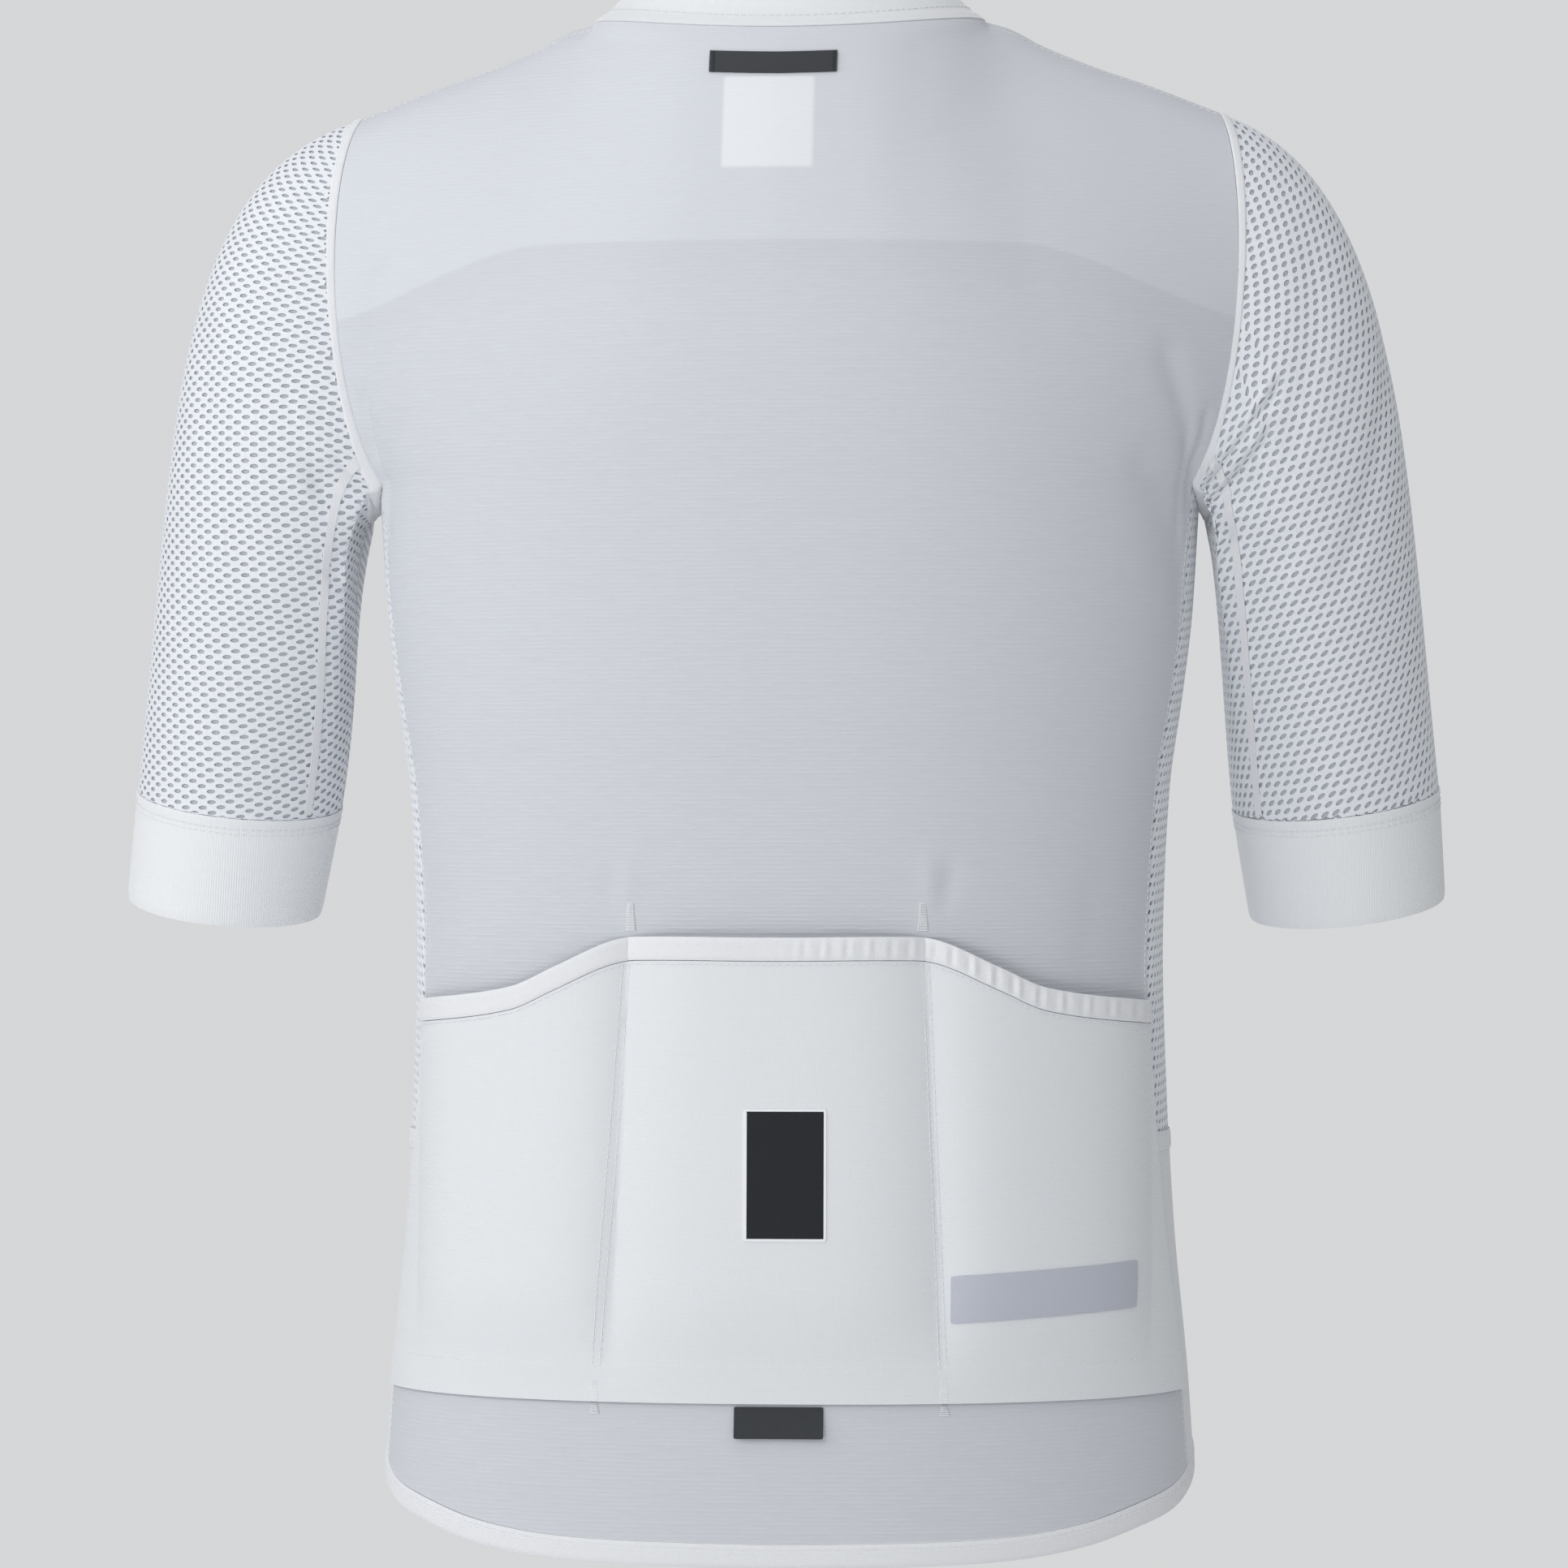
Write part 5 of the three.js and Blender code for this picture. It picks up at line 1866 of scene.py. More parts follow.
@dataclass
class PerforatedCut:
    """A piece of perforated knit: its flat cut, and its lattice of holes wrapped on the worn form.

    Args:
        name: The piece's name.
        flat: Flat places in mm, rows by columns.
        worn: Worn places in mm, of the same shape.
        outward: Outward normals, of the same shape.
        turn: Turn of the hole rows, in degrees.
    """

    name: str
    flat: Array
    worn: Array
    outward: Array
    turn: float
    pitch: float = 8.4
    row_pitch: float = 2.42
    hole: Pair = (4.2, 1.95)
    cloth: float = 0.55

    def solid_share(self) -> float:
        """The share of the cut that its eight-sided holes leave."""
        return 1 - math.sqrt(0.5) * self.hole[0] * self.hole[1] / (self.pitch * self.row_pitch)

    def cell(self) -> Piece:
        """One cell with its oval hole, shared edge to edge with its neighbours."""
        w, h = self.pitch / 2 * MM, self.row_pitch / 2 * MM
        rim = [(-w, -h, 0), (0, -h, 0), (w, -h, 0), (w, h, 0), (0, h, 0), (-w, h, 0)]
        oval = []
        for k in range(8):
            angle = k * math.pi / 4
            oval.append(
                (self.hole[0] / 2 * MM * math.cos(angle), self.hole[1] / 2 * MM * math.sin(angle), 0)
            )
        faces = [
            (2, 3, 7, 6, 13),
            (3, 4, 8, 7),
            (4, 5, 9, 8),
            (5, 0, 11, 10, 9),
            (0, 1, 12, 11),
            (1, 2, 13, 12),
        ]
        return shape_object(f"{self.name}_cell", rim + oval, faces)

    def build(self, tree: NodeTree, material: Material) -> Piece:
        """Lays the lattice on the cut, wraps it and gives it its thickness.

        Args:
            tree: The lattice tree.
            material: The knit's material.

        Returns:
            The piece.
        """
        rows, columns = self.flat.shape[:2]
        quads = quads_of(rows, columns)
        flat = np.concatenate([self.flat.reshape(-1, 2) * MM, np.zeros((rows * columns, 1))], axis=1)
        mesh = bpy.data.meshes.new(self.name)
        mesh.from_pydata(flat.tolist(), [], quads.tolist())
        place = mesh.attributes.new("place", "FLOAT_VECTOR", "POINT")
        place.data.foreach_set("vector", (self.worn.reshape(-1, 3) * MM).astype(np.float32).ravel())
        piece = link(self.name, mesh)
        low, high = self.flat.reshape(-1, 2).min(0), self.flat.reshape(-1, 2).max(0)
        span = float(np.linalg.norm(high - low))
        cell = self.cell()
        tree.apply(
            piece,
            {
                "Cell": cell,
                "Pitch": self.pitch * MM,
                "Row pitch": self.row_pitch * MM,
                "Columns": int(span / self.pitch) + 3,
                "Rows": int(span / self.row_pitch / 2) + 3,
                "Turn": math.radians(self.turn),
                "Centre": tuple((low + high) / 2 * MM) + (0.0,),
                "Reach": 0.6 * self.row_pitch * MM,
                "Material": material,
            },
        )
        bpy.data.objects.remove(cell)
        self.turn_outward(piece.data)
        wall = piece.modifiers.new("wall", "SOLIDIFY")
        wall.thickness = self.cloth * MM
        wall.offset = 0.0
        plain_mesh(piece)
        smooth_shade(piece.data, 40)
        return piece

    def turn_outward(self, mesh: Mesh) -> None:
        """Turns the sheet's faces outwards, all together, by the worn form's normals.

        Args:
            mesh: The sheet's mesh.
        """
        centres = np.empty(len(mesh.polygons) * 3, np.float32)
        normals = np.empty_like(centres)
        mesh.polygons.foreach_get("center", centres)
        mesh.polygons.foreach_get("normal", normals)
        centres, normals = centres.reshape(-1, 3)[::37], normals.reshape(-1, 3)[::37]
        worn = self.worn.reshape(-1, 3) * MM
        out = self.outward.reshape(-1, 3)
        nearest = [int(np.argmin(np.sum((worn - c) ** 2, axis=1))) for c in centres]
        if float(np.mean(np.sum(normals * out[nearest], axis=1))) < 0:
            mesh.flip_normals()


@dataclass
class Sides:
    """The side panels: perforated above, smooth below."""

    shop: Workshop
    lattice: NodeTree
    inset: float = 0.002
    tuck: float = 0.03
    sunk: float = 0.85
    top_gap: float = 1.0
    seam_gap: float = 0.3
    # The grey backing behind the holes is painted shade.
    backing_cloth: float = 0.2
    backing_depth: float = 1.25
    band_half: float = 4.2
    band_cloth: float = 0.3
    mesh_steps: Steps = (24, 90)
    lower_steps: Steps = (20, 44)
    band_steps: Steps = (20, 6)

    def build(self) -> None:
        """Makes the four pieces and the seams between them."""
        form, shop = self.shop.form, self.shop
        for hand in Hand:
            u, v = grid((-self.tuck, 1 + self.tuck), (0, 1), self.mesh_steps)
            z = lerp(form.split_z + self.seam_gap / 2, form.side_top(u) - self.top_gap, v)
            place = form.side(hand.value, u, z)
            inner = points(hand.value * 60 + 0 * u, 0, z)
            name = f"side_backing_{hand.side}"
            wall = ClothWall(name, place, inner, self.backing_cloth, offset=-self.backing_depth)
            x, y = wall.lengths()
            edge = np.minimum(x, x[:, -1:] - x)
            sunk = self.sunk * (1 - smoothstep(edge, 1.5, 7.0))
            x = x - x[:, x.shape[1] // 2][:, None]
            cut = PerforatedCut(
                f"side_panel_{hand.side}",
                np.stack([x, y], axis=-1),
                place - sunk[..., None] * wall.outward,
                wall.outward,
                turn=38.0,
                pitch=7.2,
                row_pitch=2.4,
                hole=(3.3, 1.7),
            )
            piece = cut.build(self.lattice, shop.wardrobe.material(shop.finishes.mesh))
            shop.wardrobe.dress(piece, shop.finishes.mesh, [f"side_mesh_{hand.side}"])
            declare(piece, wall, [self.band(hand)], cut.solid_share())
            # Painted shade: a grey sheet behind the holes, in place of the shaded inside.
            backing = shop.make(wall, shop.finishes.backing)
            declare(backing, wall)
            u, v = grid((self.inset, 1 - self.inset), (0, 1), self.lower_steps)

            def turn_of(height: Array, across: Array = u) -> Array:
                """Quarter turns of the lower piece's places."""
                return lerp(
                    form.seam_turn(Face.BACK, height), 2 - form.seam_turn(Face.FRONT, height), across
                )

            z = lerp(form.hem_top(turn_of), form.split_z - self.seam_gap / 2, v)
            place = form.side(hand.value, u, z)
            inner = points(hand.value * 60 + 0 * u, 0, z)
            wall = ClothWall(f"side_lower_{hand.side}_cloth", place, inner, shop.cloth)
            piece = shop.make(wall, shop.finishes.smooth, [f"side_lower_{hand.side}"])
            declare(piece, wall)

    def band(self, hand: Hand) -> Piece:
        """Lays the flat seam band between the mesh and the smooth cloth.

        Args:
            hand: The wearer's side.

        Returns:
            The band.
        """
        form, shop = self.shop.form, self.shop
        u, v = grid((self.inset, 1 - self.inset), (-1, 1), self.band_steps)
        z = form.split_z + self.band_half * v
        inner = points(hand.value * 60 + 0 * u, 0, z)
        place = form.side(hand.value, u, z)
        name = f"side_seam_band_{hand.side}"
        wall = ClothWall(name, place, inner, self.band_cloth, offset=0.75, swell=0.35)
        return shop.make(wall, shop.finishes.tape)


@dataclass
class Sleeves:
    """Sleeves, armhole tapes, underarm tapes and cuffs."""

    shop: Workshop
    lattice: NodeTree
    tape_width: float = 4.0
    armhole_gap: float = 0.1
    tape_around: float = 0.385
    tape_top: float = 0.04
    row_turns: Pair = (9.0, -36.0)
    # The grey backing behind the holes is painted shade.
    backing_cloth: float = 0.2
    backing_depth: float = 0.62
    tape_cloth: Pair = (0.9, 0.3)
    cuff_cloth: float = 1.3
    backing_steps: Steps = (110, 70)
    armhole_steps: Steps = (200, 8)
    underarm_steps: Steps = (4, 110)
    cuff_steps: Steps = (110, 26)

    def down_at(self, around: Array, distance: float) -> Array:
        """Share of the sleeve's length that a distance from the armhole takes.

        Args:
            around: Shares of a turn.
            distance: The distance in mm.

        Returns:
            The shares.
        """
        form = self.shop.form
        step = 0.01
        ahead = form.plain_sleeve(around, np.full_like(around, step))
        speed = np.linalg.norm(ahead - form.plain_sleeve(around, np.zeros_like(around)), axis=-1) / step
        return distance / speed

    def flat_cut(self, hand: Hand) -> tuple[Array, Array, Array]:
        """Unrolls a sleeve: distance round it from its outer line, and distance up from the cuff.

        Args:
            hand: The wearer's side.

        Returns:
            Flat places, worn places and outward normals.
        """
        form = self.shop.form
        columns, rows = 220, 150
        around = np.linspace(-0.5, 0.5, columns + 1)
        dense = np.linspace(0, 1, 161)
        u, w = np.meshgrid(around, dense)
        top = self.down_at(around, self.tape_width * 0.6)
        sheet = form.sleeve(hand, u, lerp(1, top[None, :], w))
        step = np.linalg.norm(np.diff(sheet, axis=0), axis=-1)
        up = np.concatenate([np.zeros((1, columns + 1)), np.cumsum(step, axis=0)])
        levels = np.linspace(0, float(up[-1].max()), 180)
        ring = np.empty((len(levels), columns + 1, 3))
        for c in range(columns + 1):
            for k in range(3):
                ring[:, c, k] = np.interp(levels, up[:, c], sheet[:, c, k])
        width = np.linalg.norm(np.diff(ring, axis=1), axis=-1)
        run = np.concatenate([np.zeros((len(levels), 1)), np.cumsum(width, axis=1)], axis=1)
        run = run - run[:, columns // 2][:, None]
        pick = np.linspace(0, len(dense) - 1, rows + 1).round().astype(int)
        flat = np.empty((rows + 1, columns + 1, 2))
        for c in range(columns + 1):
            flat[:, c, 0] = np.interp(up[pick, c], levels, run[:, c])
            flat[:, c, 1] = up[pick, c]
        worn = sheet[pick]
        down = lerp(1, top[None, :], w[pick])
        inner = form.to_side(form.arm_inner(u[pick], down), hand, down)
        wall = ClothWall("sleeve_form", worn, inner, 1.0)
        return flat, worn, wall.outward

    def build(self) -> None:
        """Makes both sleeves with their tapes, cuffs and sewing."""
        form, shop = self.shop.form, self.shop
        for hand, turn in zip(Hand, self.row_turns):
            flat, worn, outward = self.flat_cut(hand)
            cut = PerforatedCut(f"sleeve_{hand.side}_mesh", flat, worn, outward, turn=turn)
            piece = cut.build(self.lattice, shop.wardrobe.material(shop.finishes.mesh))
            shop.wardrobe.dress(piece, shop.finishes.mesh, [f"sleeve_{hand.side}"])
            inner = worn * 0 + np.array([hand.value * 230.0, -20, -200])
            declare(piece, ClothWall("sleeve_cut", worn, inner, 1.0), self.tapes(hand), cut.solid_share())
            self.backing(hand)
            self.cuff(hand)

    def backing(self, hand: Hand) -> None:
        """Makes the thin grey sheet behind the holes, a painted shade that stands in for the shaded inside seen
        through them.

        Args:
            hand: The wearer's side.
        """
        form, shop = self.shop.form, self.shop
        u, v = grid((0, 1), (0, 1), self.backing_steps, closed=True)
        down = lerp(self.down_at(u, 0.4), 1, v)
        inner = form.to_side(form.arm_inner(u, down), hand, down)
        place = form.sleeve(hand, u, down)
        name = f"sleeve_backing_{hand.side}"
        wall = ClothWall(name, place, inner, self.backing_cloth, True, -self.backing_depth)
        declare(shop.make(wall, shop.finishes.backing), wall)

    def tapes(self, hand: Hand) -> list[Piece]:
        """Makes the tape round the armhole and the one along the underarm.

        Args:
            hand: The wearer's side.

        Returns:
            The two tapes.
        """
        form, shop = self.shop.form, self.shop
        u, v = grid((0, 1), (0, 1), self.armhole_steps, closed=True)
        down = self.down_at(u, 1.0) * lerp(self.armhole_gap, self.tape_width + 0.5, v)
        inner = form.to_side(form.arm_inner(u, down), hand, down)
        place = form.sleeve(hand, u, down)
        name = f"armhole_tape_{hand.side}_cloth"
        wall = ClothWall(name, place, inner, self.tape_cloth[0], closed=True, swell=0.45)
        tapes = [shop.make(wall, shop.finishes.tape, [f"armhole_tape_{hand.side}"])]
        half = self.tape_width / 2 / (2 * math.pi * form.cuff_radii[0])
        around = (self.tape_around - half, self.tape_around + half)
        u, v = grid(around, (self.tape_top, 0.99), self.underarm_steps)
        inner = form.to_side(form.arm_inner(u, v), hand, v)
        place = form.sleeve(hand, u, v)
        name = f"underarm_tape_{hand.side}_cloth"
        wall = ClothWall(name, place, inner, self.tape_cloth[1], offset=0.5, swell=0.25)
        tapes.append(shop.make(wall, shop.finishes.tape, [f"underarm_tape_{hand.side}"]))
        return tapes

    def cuff(self, hand: Hand) -> None:
        """Makes a folded cuff with its seam ridge and stitching.

        Args:
            hand: The wearer's side.
        """
        form, shop = self.shop.form, self.shop

        def surface(around: Array, share: Array) -> Array:
            """The cuff on its own side."""
            return form.to_side(form.cuff(around, share), hand, 1 + share * form.cuff_height / SLEEVE_LENGTH)

        centre = surface(np.array([0.0, 0.5]), np.array([0.5, 0.5])).mean(axis=0)
        u, v = grid((0, 1), (0.006, 1), self.cuff_steps, closed=True)
        rounded = 0.55 * smoothstep(v, 0.93, 1.0) ** 2
        seam = 0.35 * np.exp(-(((v - 0.035) / 0.02) ** 2)) - 0.2 * np.exp(-(((v - 0.09) / 0.03) ** 2))
        wall = ClothWall(
            f"cuff_{hand.side}_knit",
            surface(u, v),
            centre + 0 * u[..., None],
            self.cuff_cloth,
            closed=True,
            offset=seam - rounded,
        )
        piece = shop.make(wall, shop.finishes.cuff, [f"cuff_{hand.side}"])
        run = np.linspace(0, 1, 160)
        rows = [path_on(surface, run, share + 0 * run, centre + 0 * run[:, None]) for share in (0.1, 0.145)]
        thread = shop.sew(f"cuff_stitching_{hand.side}", rows, 0.75)
        declare(piece, wall, [thread])


@dataclass
class Collar:
    """The stand collar, open at the zip."""

    shop: Workshop
    end_share: float = 0.0105
    base_gap: float = 0.1
    cloth: float = 1.4
    steps: Steps = (160, 18)

    def build(self) -> None:
        """Makes the collar, the ridge of its seam and its stitching."""
        form, shop = self.shop.form, self.shop
        end = math.pi - math.pi / 2 * self.end_share / form.neck_share
        u, v = grid((-end, end), (self.base_gap / form.collar_height, 1), self.steps)
        place = form.collar(u, v)
        inner = points(0 * u, 0, -60)
        ridge = 0.5 * np.exp(-(((v - 0.05) / 0.04) ** 2)) - 0.25 * np.exp(-(((v - 0.16) / 0.05) ** 2))
        top = -0.5 * smoothstep(v, 0.94, 1.0) ** 2
        wall = ClothWall("collar_knit", place, inner, self.cloth, offset=ridge + top)
        piece = shop.make(wall, shop.finishes.cuff, ["collar"])
        run = np.linspace(-end + 0.03, end - 0.03, 300)
        rows = [path_on(form.collar, run, share + 0 * run, points(0 * run, 0, -60)) for share in (0.17,)]
        thread = shop.sew("collar_stitching", rows, 0.7)
        declare(piece, wall, [thread])


@dataclass
class Hem:
    """The rounded elastic band round the lower edge."""

    shop: Workshop
    end_share: float = 0.0105
    cloth: float = 1.1
    steps: Steps = (340, 10)

    def build(self) -> None:
        """Makes the band and its two rows of stitches."""
        form, shop = self.shop.form, self.shop
        end = 2 - self.end_share * float(form.seam_turn(Face.FRONT, np.array(-690.0)))

        def surface(turn: Array, share: Array) -> Array:
            """The band by quarter turns, right below zero, and share of its height."""
            aside = np.abs(turn)
            z = form.hem.at(aside) + share * form.hem_band
            return form.torso(aside, np.where(turn < 0, -1, 1), z)

        u, v = grid((-end, end), (0, 1), self.steps)
        place = surface(u, v)
        inner = form.torso_inner(place)
        wall = ClothWall("hem_band_knit", place, inner, self.cloth, offset=-0.3, swell=0.8)
        piece = shop.make(wall, shop.finishes.tape, ["hem_band"])
        run = np.linspace(-end + 0.01, end - 0.01, 400)
        rows = [path_on(surface, run, share + 0 * run) for share in (0.66, 0.82)]
        thread = shop.sew("hem_stitching", rows, 1.0)
        declare(piece, wall, [thread])


@dataclass(frozen=True)
class Patch:
    """A label's place on the back: its centre, width and height in mm, and its rise for each mm across."""

    x: float
    z: float
    width: float
    height: float
    slope: float = 0.0

    @staticmethod
    def span(length: float) -> Pair:
        """Both ends of a length about the middle."""
        return -length / 2, length / 2


@dataclass
class Pockets:
    """The pocket face with its binding, dividers, patch, strip and tag."""

    shop: Workshop
    edge: float = 0.99
    binding: float = 10
    patch: Patch = Patch(-4.2, -503.8, 35, 56.3)
    strip: Patch = Patch(-111.6, -555.0, 75.2, 20.0, -0.055)
    tag: Patch = Patch(-1.6, -609, 38, 13.4)
    label: float = 0.5
    left_foot: float = 6.0
    binding_cloth: float = 1.1
    tag_cloth: float = 0.6
    face_steps: Steps = (180, 60)
    binding_steps: Steps = (560, 10)
    label_steps: Steps = (34, 34)
    tag_steps: Steps = (36, 20)

    def build(self) -> None:
        """Makes every piece of the pockets."""
        form, shop = self.shop.form, self.shop
        u, v = grid((-self.edge, self.edge), (0, 1), self.face_steps)
        z = lerp(form.pocket_bottom, form.pocket_top_at(u) - self.binding - 0.3, v)
        place = form.pocket(u, z)
        hem = 0.35 * (1 - smoothstep(z, form.pocket_bottom + 15, form.pocket_bottom + 16.5))
        wall = ClothWall("pocket_face", place, form.torso_inner(place), shop.cloth, offset=hem)
        face = shop.make(wall, shop.finishes.smooth, ["pocket_panel"])
        trims = [self.gathered_binding(), *self.sewing()]
        trims.append(self.laid("pocket_patch_label", self.patch, shop.finishes.patch, "pocket_patch", 1.0))
        trims.append(self.laid("grey_strip_print", self.strip, shop.finishes.strip, "grey_strip", 0.8))
        declare(face, wall, trims)
        self.small_tag()

    def gathered_binding(self) -> Piece:
        """The elastic binding, smooth on the wearer's left and gathered in waves on the right."""
        form, shop = self.shop.form, self.shop
        u, v = grid((-self.edge, self.edge), (0, 1), self.binding_steps)
        z = form.pocket_top_at(u) - self.binding * (1 - v)
        place = form.pocket(u, z)
        run = place[..., 0]
        gather = smoothstep(-run, -6, 30) * (0.75 + 0.25 * np.sin(run / 17 + 0.7))
        wave = np.sin(run * 2 * math.pi / 6.1 + 1.3 * np.sin(run / 21))
        wave = wave + 0.4 * np.sin(run * 2 * math.pi / 3.7 + v)
        hump = np.sin(math.pi * np.clip(v, 0, 1)) ** 0.7
        offset = 0.1 + 0.52 * wave * gather * hump
        inner = form.torso_inner(place)
        wall = ClothWall(
            "pocket_binding_elastic", place, inner, self.binding_cloth, offset=offset, swell=0.6
        )
        return shop.make(wall, shop.finishes.tape, ["pocket_binding"])

    def on_face(self, x: Array, z: Array) -> Array:
        """The pocket face's point at a distance from the centre line and a height."""
        return self.shop.form.pocket(self.shop.form.across_at(x, z), z)

    def sewing(self) -> list[Piece]:
        """Sews the dividers, the turned lower hem, the binding and the bartacks."""
        form, shop = self.shop.form, self.shop
        run = np.linspace(0, 1, 140)
        paths, bars = [], []
        for side in (-1, 1):
            for shift in (-1.6, 1.6):
                z = lerp(form.pocket_bottom + 1, -415, run)
                rise = (z - form.pocket_bottom) / (form.pocket_top.values[0] - form.pocket_bottom)
                foot = form.divider_x[1] + (self.left_foot if side > 0 else 0.0)
                x = side * (lerp(foot, form.divider_x[0], rise) + shift)
                paths.append(path_on(self.on_face, x, z))
        wide = lerp(-0.985, 0.985, np.linspace(0, 1, 300))
        for height in (1.8, 15.5):
            paths.append(path_on(form.pocket, wide, form.pocket_bottom + height + 0 * wide))
        paths.append(path_on(form.pocket, wide, form.pocket_top_at(wide) - self.binding - 1.6))
        for side in (-1, 1):
            out = self.left_foot if side > 0 else 0.0
            for z0, z1, x0 in ((-399.5, -388, 62.5), (-600, -592, 71.4 + out), (-606, -602, 71.8 + out)):
                for shift in np.linspace(-1.5, 1.5, 4):
                    z = lerp(z0, z1, np.linspace(0, 1, 12))
                    surface = self.on_face if z0 < -590 and z1 > -601 else self.on_back
                    bars.append(path_on(surface, side * x0 + shift * (1 - 0.55 * smoothstep(z, z0, z1)), z))
        thread = shop.sew("pocket_stitching", paths, shop.cloth / 2 + 0.15)
        finish = shop.finishes.thread
        tacks = shop.sewing.run("bartacks", bars, shop.bar, 0.7, shop.cloth / 2 + 0.2, finish)
        return [thread, tacks]

    def on_back(self, x: Array, z: Array) -> Array:
        """The back's point at a distance from the centre line and a height."""
        return self.shop.form.back_torso(self.shop.form.across_at(x, z), z)

    def rounded(self, patch: Patch, radius: float, steps: Steps) -> tuple[Array, Array]:
        """A grid over a rectangle with rounded corners, from its centre, in mm.

        Args:
            patch: The rectangle.
            radius: Radius of its corners.
            steps: Steps across and up.

        Returns:
            The places across and up.
        """
        x, y = grid(patch.span(patch.width), patch.span(patch.height), steps)
        cx = np.clip(x, -patch.width / 2 + radius, patch.width / 2 - radius)
        cy = np.clip(y, -patch.height / 2 + radius, patch.height / 2 - radius)
        away = np.hypot(x - cx, y - cy)
        pull = np.where(away > radius, radius / np.maximum(away, 1e-6), 1)
        return cx + (x - cx) * pull, cy + (y - cy) * pull

    def laid(
        self, name: str, patch: Patch, finish: ClothFinish, node: str, radius: float
    ) -> Piece:
        """Lays a thin label on the pocket face.

        Args:
            name: The piece's name.
            patch: Its place and size.
            finish: Its finish.
            node: The solid that it replaces.
            radius: Radius of its corners in mm.

        Returns:
            The piece.
        """
        x, y = self.rounded(patch, radius, self.label_steps)
        z = patch.z + y + patch.slope * x
        place = self.on_face(patch.x + x, z)
        inner = points(patch.x * 0.5 + 0 * x, 0, z)
        wall = ClothWall(name, place, inner, self.label, offset=0.75)
        return self.shop.make(wall, finish, [node])

    def small_tag(self) -> None:
        """Makes the folded tag under the pockets, curling off the cloth a little."""
        x, y = self.rounded(self.tag, 0.6, self.tag_steps)
        place = self.on_back(self.tag.x + x, self.tag.z + y)
        share = 0.5 - y / self.tag.height
        curl = 1.0 + 1.5 * share**2 + 0.8 * (x / self.tag.width * 2) ** 2 * share
        inner = points(0 * x, 0, self.tag.z + y)
        wall = ClothWall("pocket_tag_label", place, inner, self.tag_cloth, offset=curl)
        piece = self.shop.make(wall, self.shop.finishes.label, ["pocket_tag"])
        declare(piece, wall)


@dataclass
class NeckLabels:
    """The tab outside the back neck and the label inside it."""

    shop: Workshop
    tab: Patch = Patch(2.8, -26.5, 55, 9.6)
    label: Patch = Patch(4.2, -52.5, 39, 41)
    cloth: float = 0.6
    steps: Steps = (40, 14)

    def place(self, x: Array, z: Array) -> Array:
        """The back's point at a distance from the centre line and a height on that line.

        Args:
            x: Distances from the centre line.
            z: Heights on that line.

        Returns:
            The points.
        """
        form = self.shop.form
        rises = np.linspace(1, 2, 200)
        levels = form.back(np.zeros(200), rises)[:, 2]
        rise = np.interp(z, levels, rises)
        low, high = np.zeros_like(x), np.full_like(x, 0.9)
        for _ in range(26):
            middle = (low + high) / 2
            short = form.back(middle, rise)[..., 0] < np.abs(x)
            low, high = np.where(short, middle, low), np.where(short, high, middle)
        return form.back(np.sign(x) * low, rise)

    def build(self) -> None:
        """Makes the tab with its sewn ends, and the label."""
        shop = self.shop
        for name, patch, node, offset, finish in (
            ("neck_tab_label", self.tab, "neck_tab", 1.1, shop.finishes.label),
            ("neck_label_print", self.label, "neck_label", -1.7, shop.finishes.tape),
        ):
            x, y = grid(patch.span(patch.width), patch.span(patch.height), self.steps)
            place = self.place(patch.x + x, patch.z + y)
            wall = ClothWall(name, place, points(0 * x, 0, -100), self.cloth, offset=offset)
            piece = shop.make(wall, finish, [node])
            declare(piece, wall)
        ends = []
        for side in (-1, 1):
            y = np.linspace(-self.tab.height / 2 + 0.6, self.tab.height / 2 - 0.6, 20)
            x = side * (self.tab.width / 2 - 1.6) + 0 * y
            ends.append(path_on(self.place, self.tab.x + x, self.tab.z + y, points(0 * y, 0, -100)))
        shop.sewing.run("neck_tab_stitching", ends, shop.bar, 0.9, 1.45, shop.finishes.label)


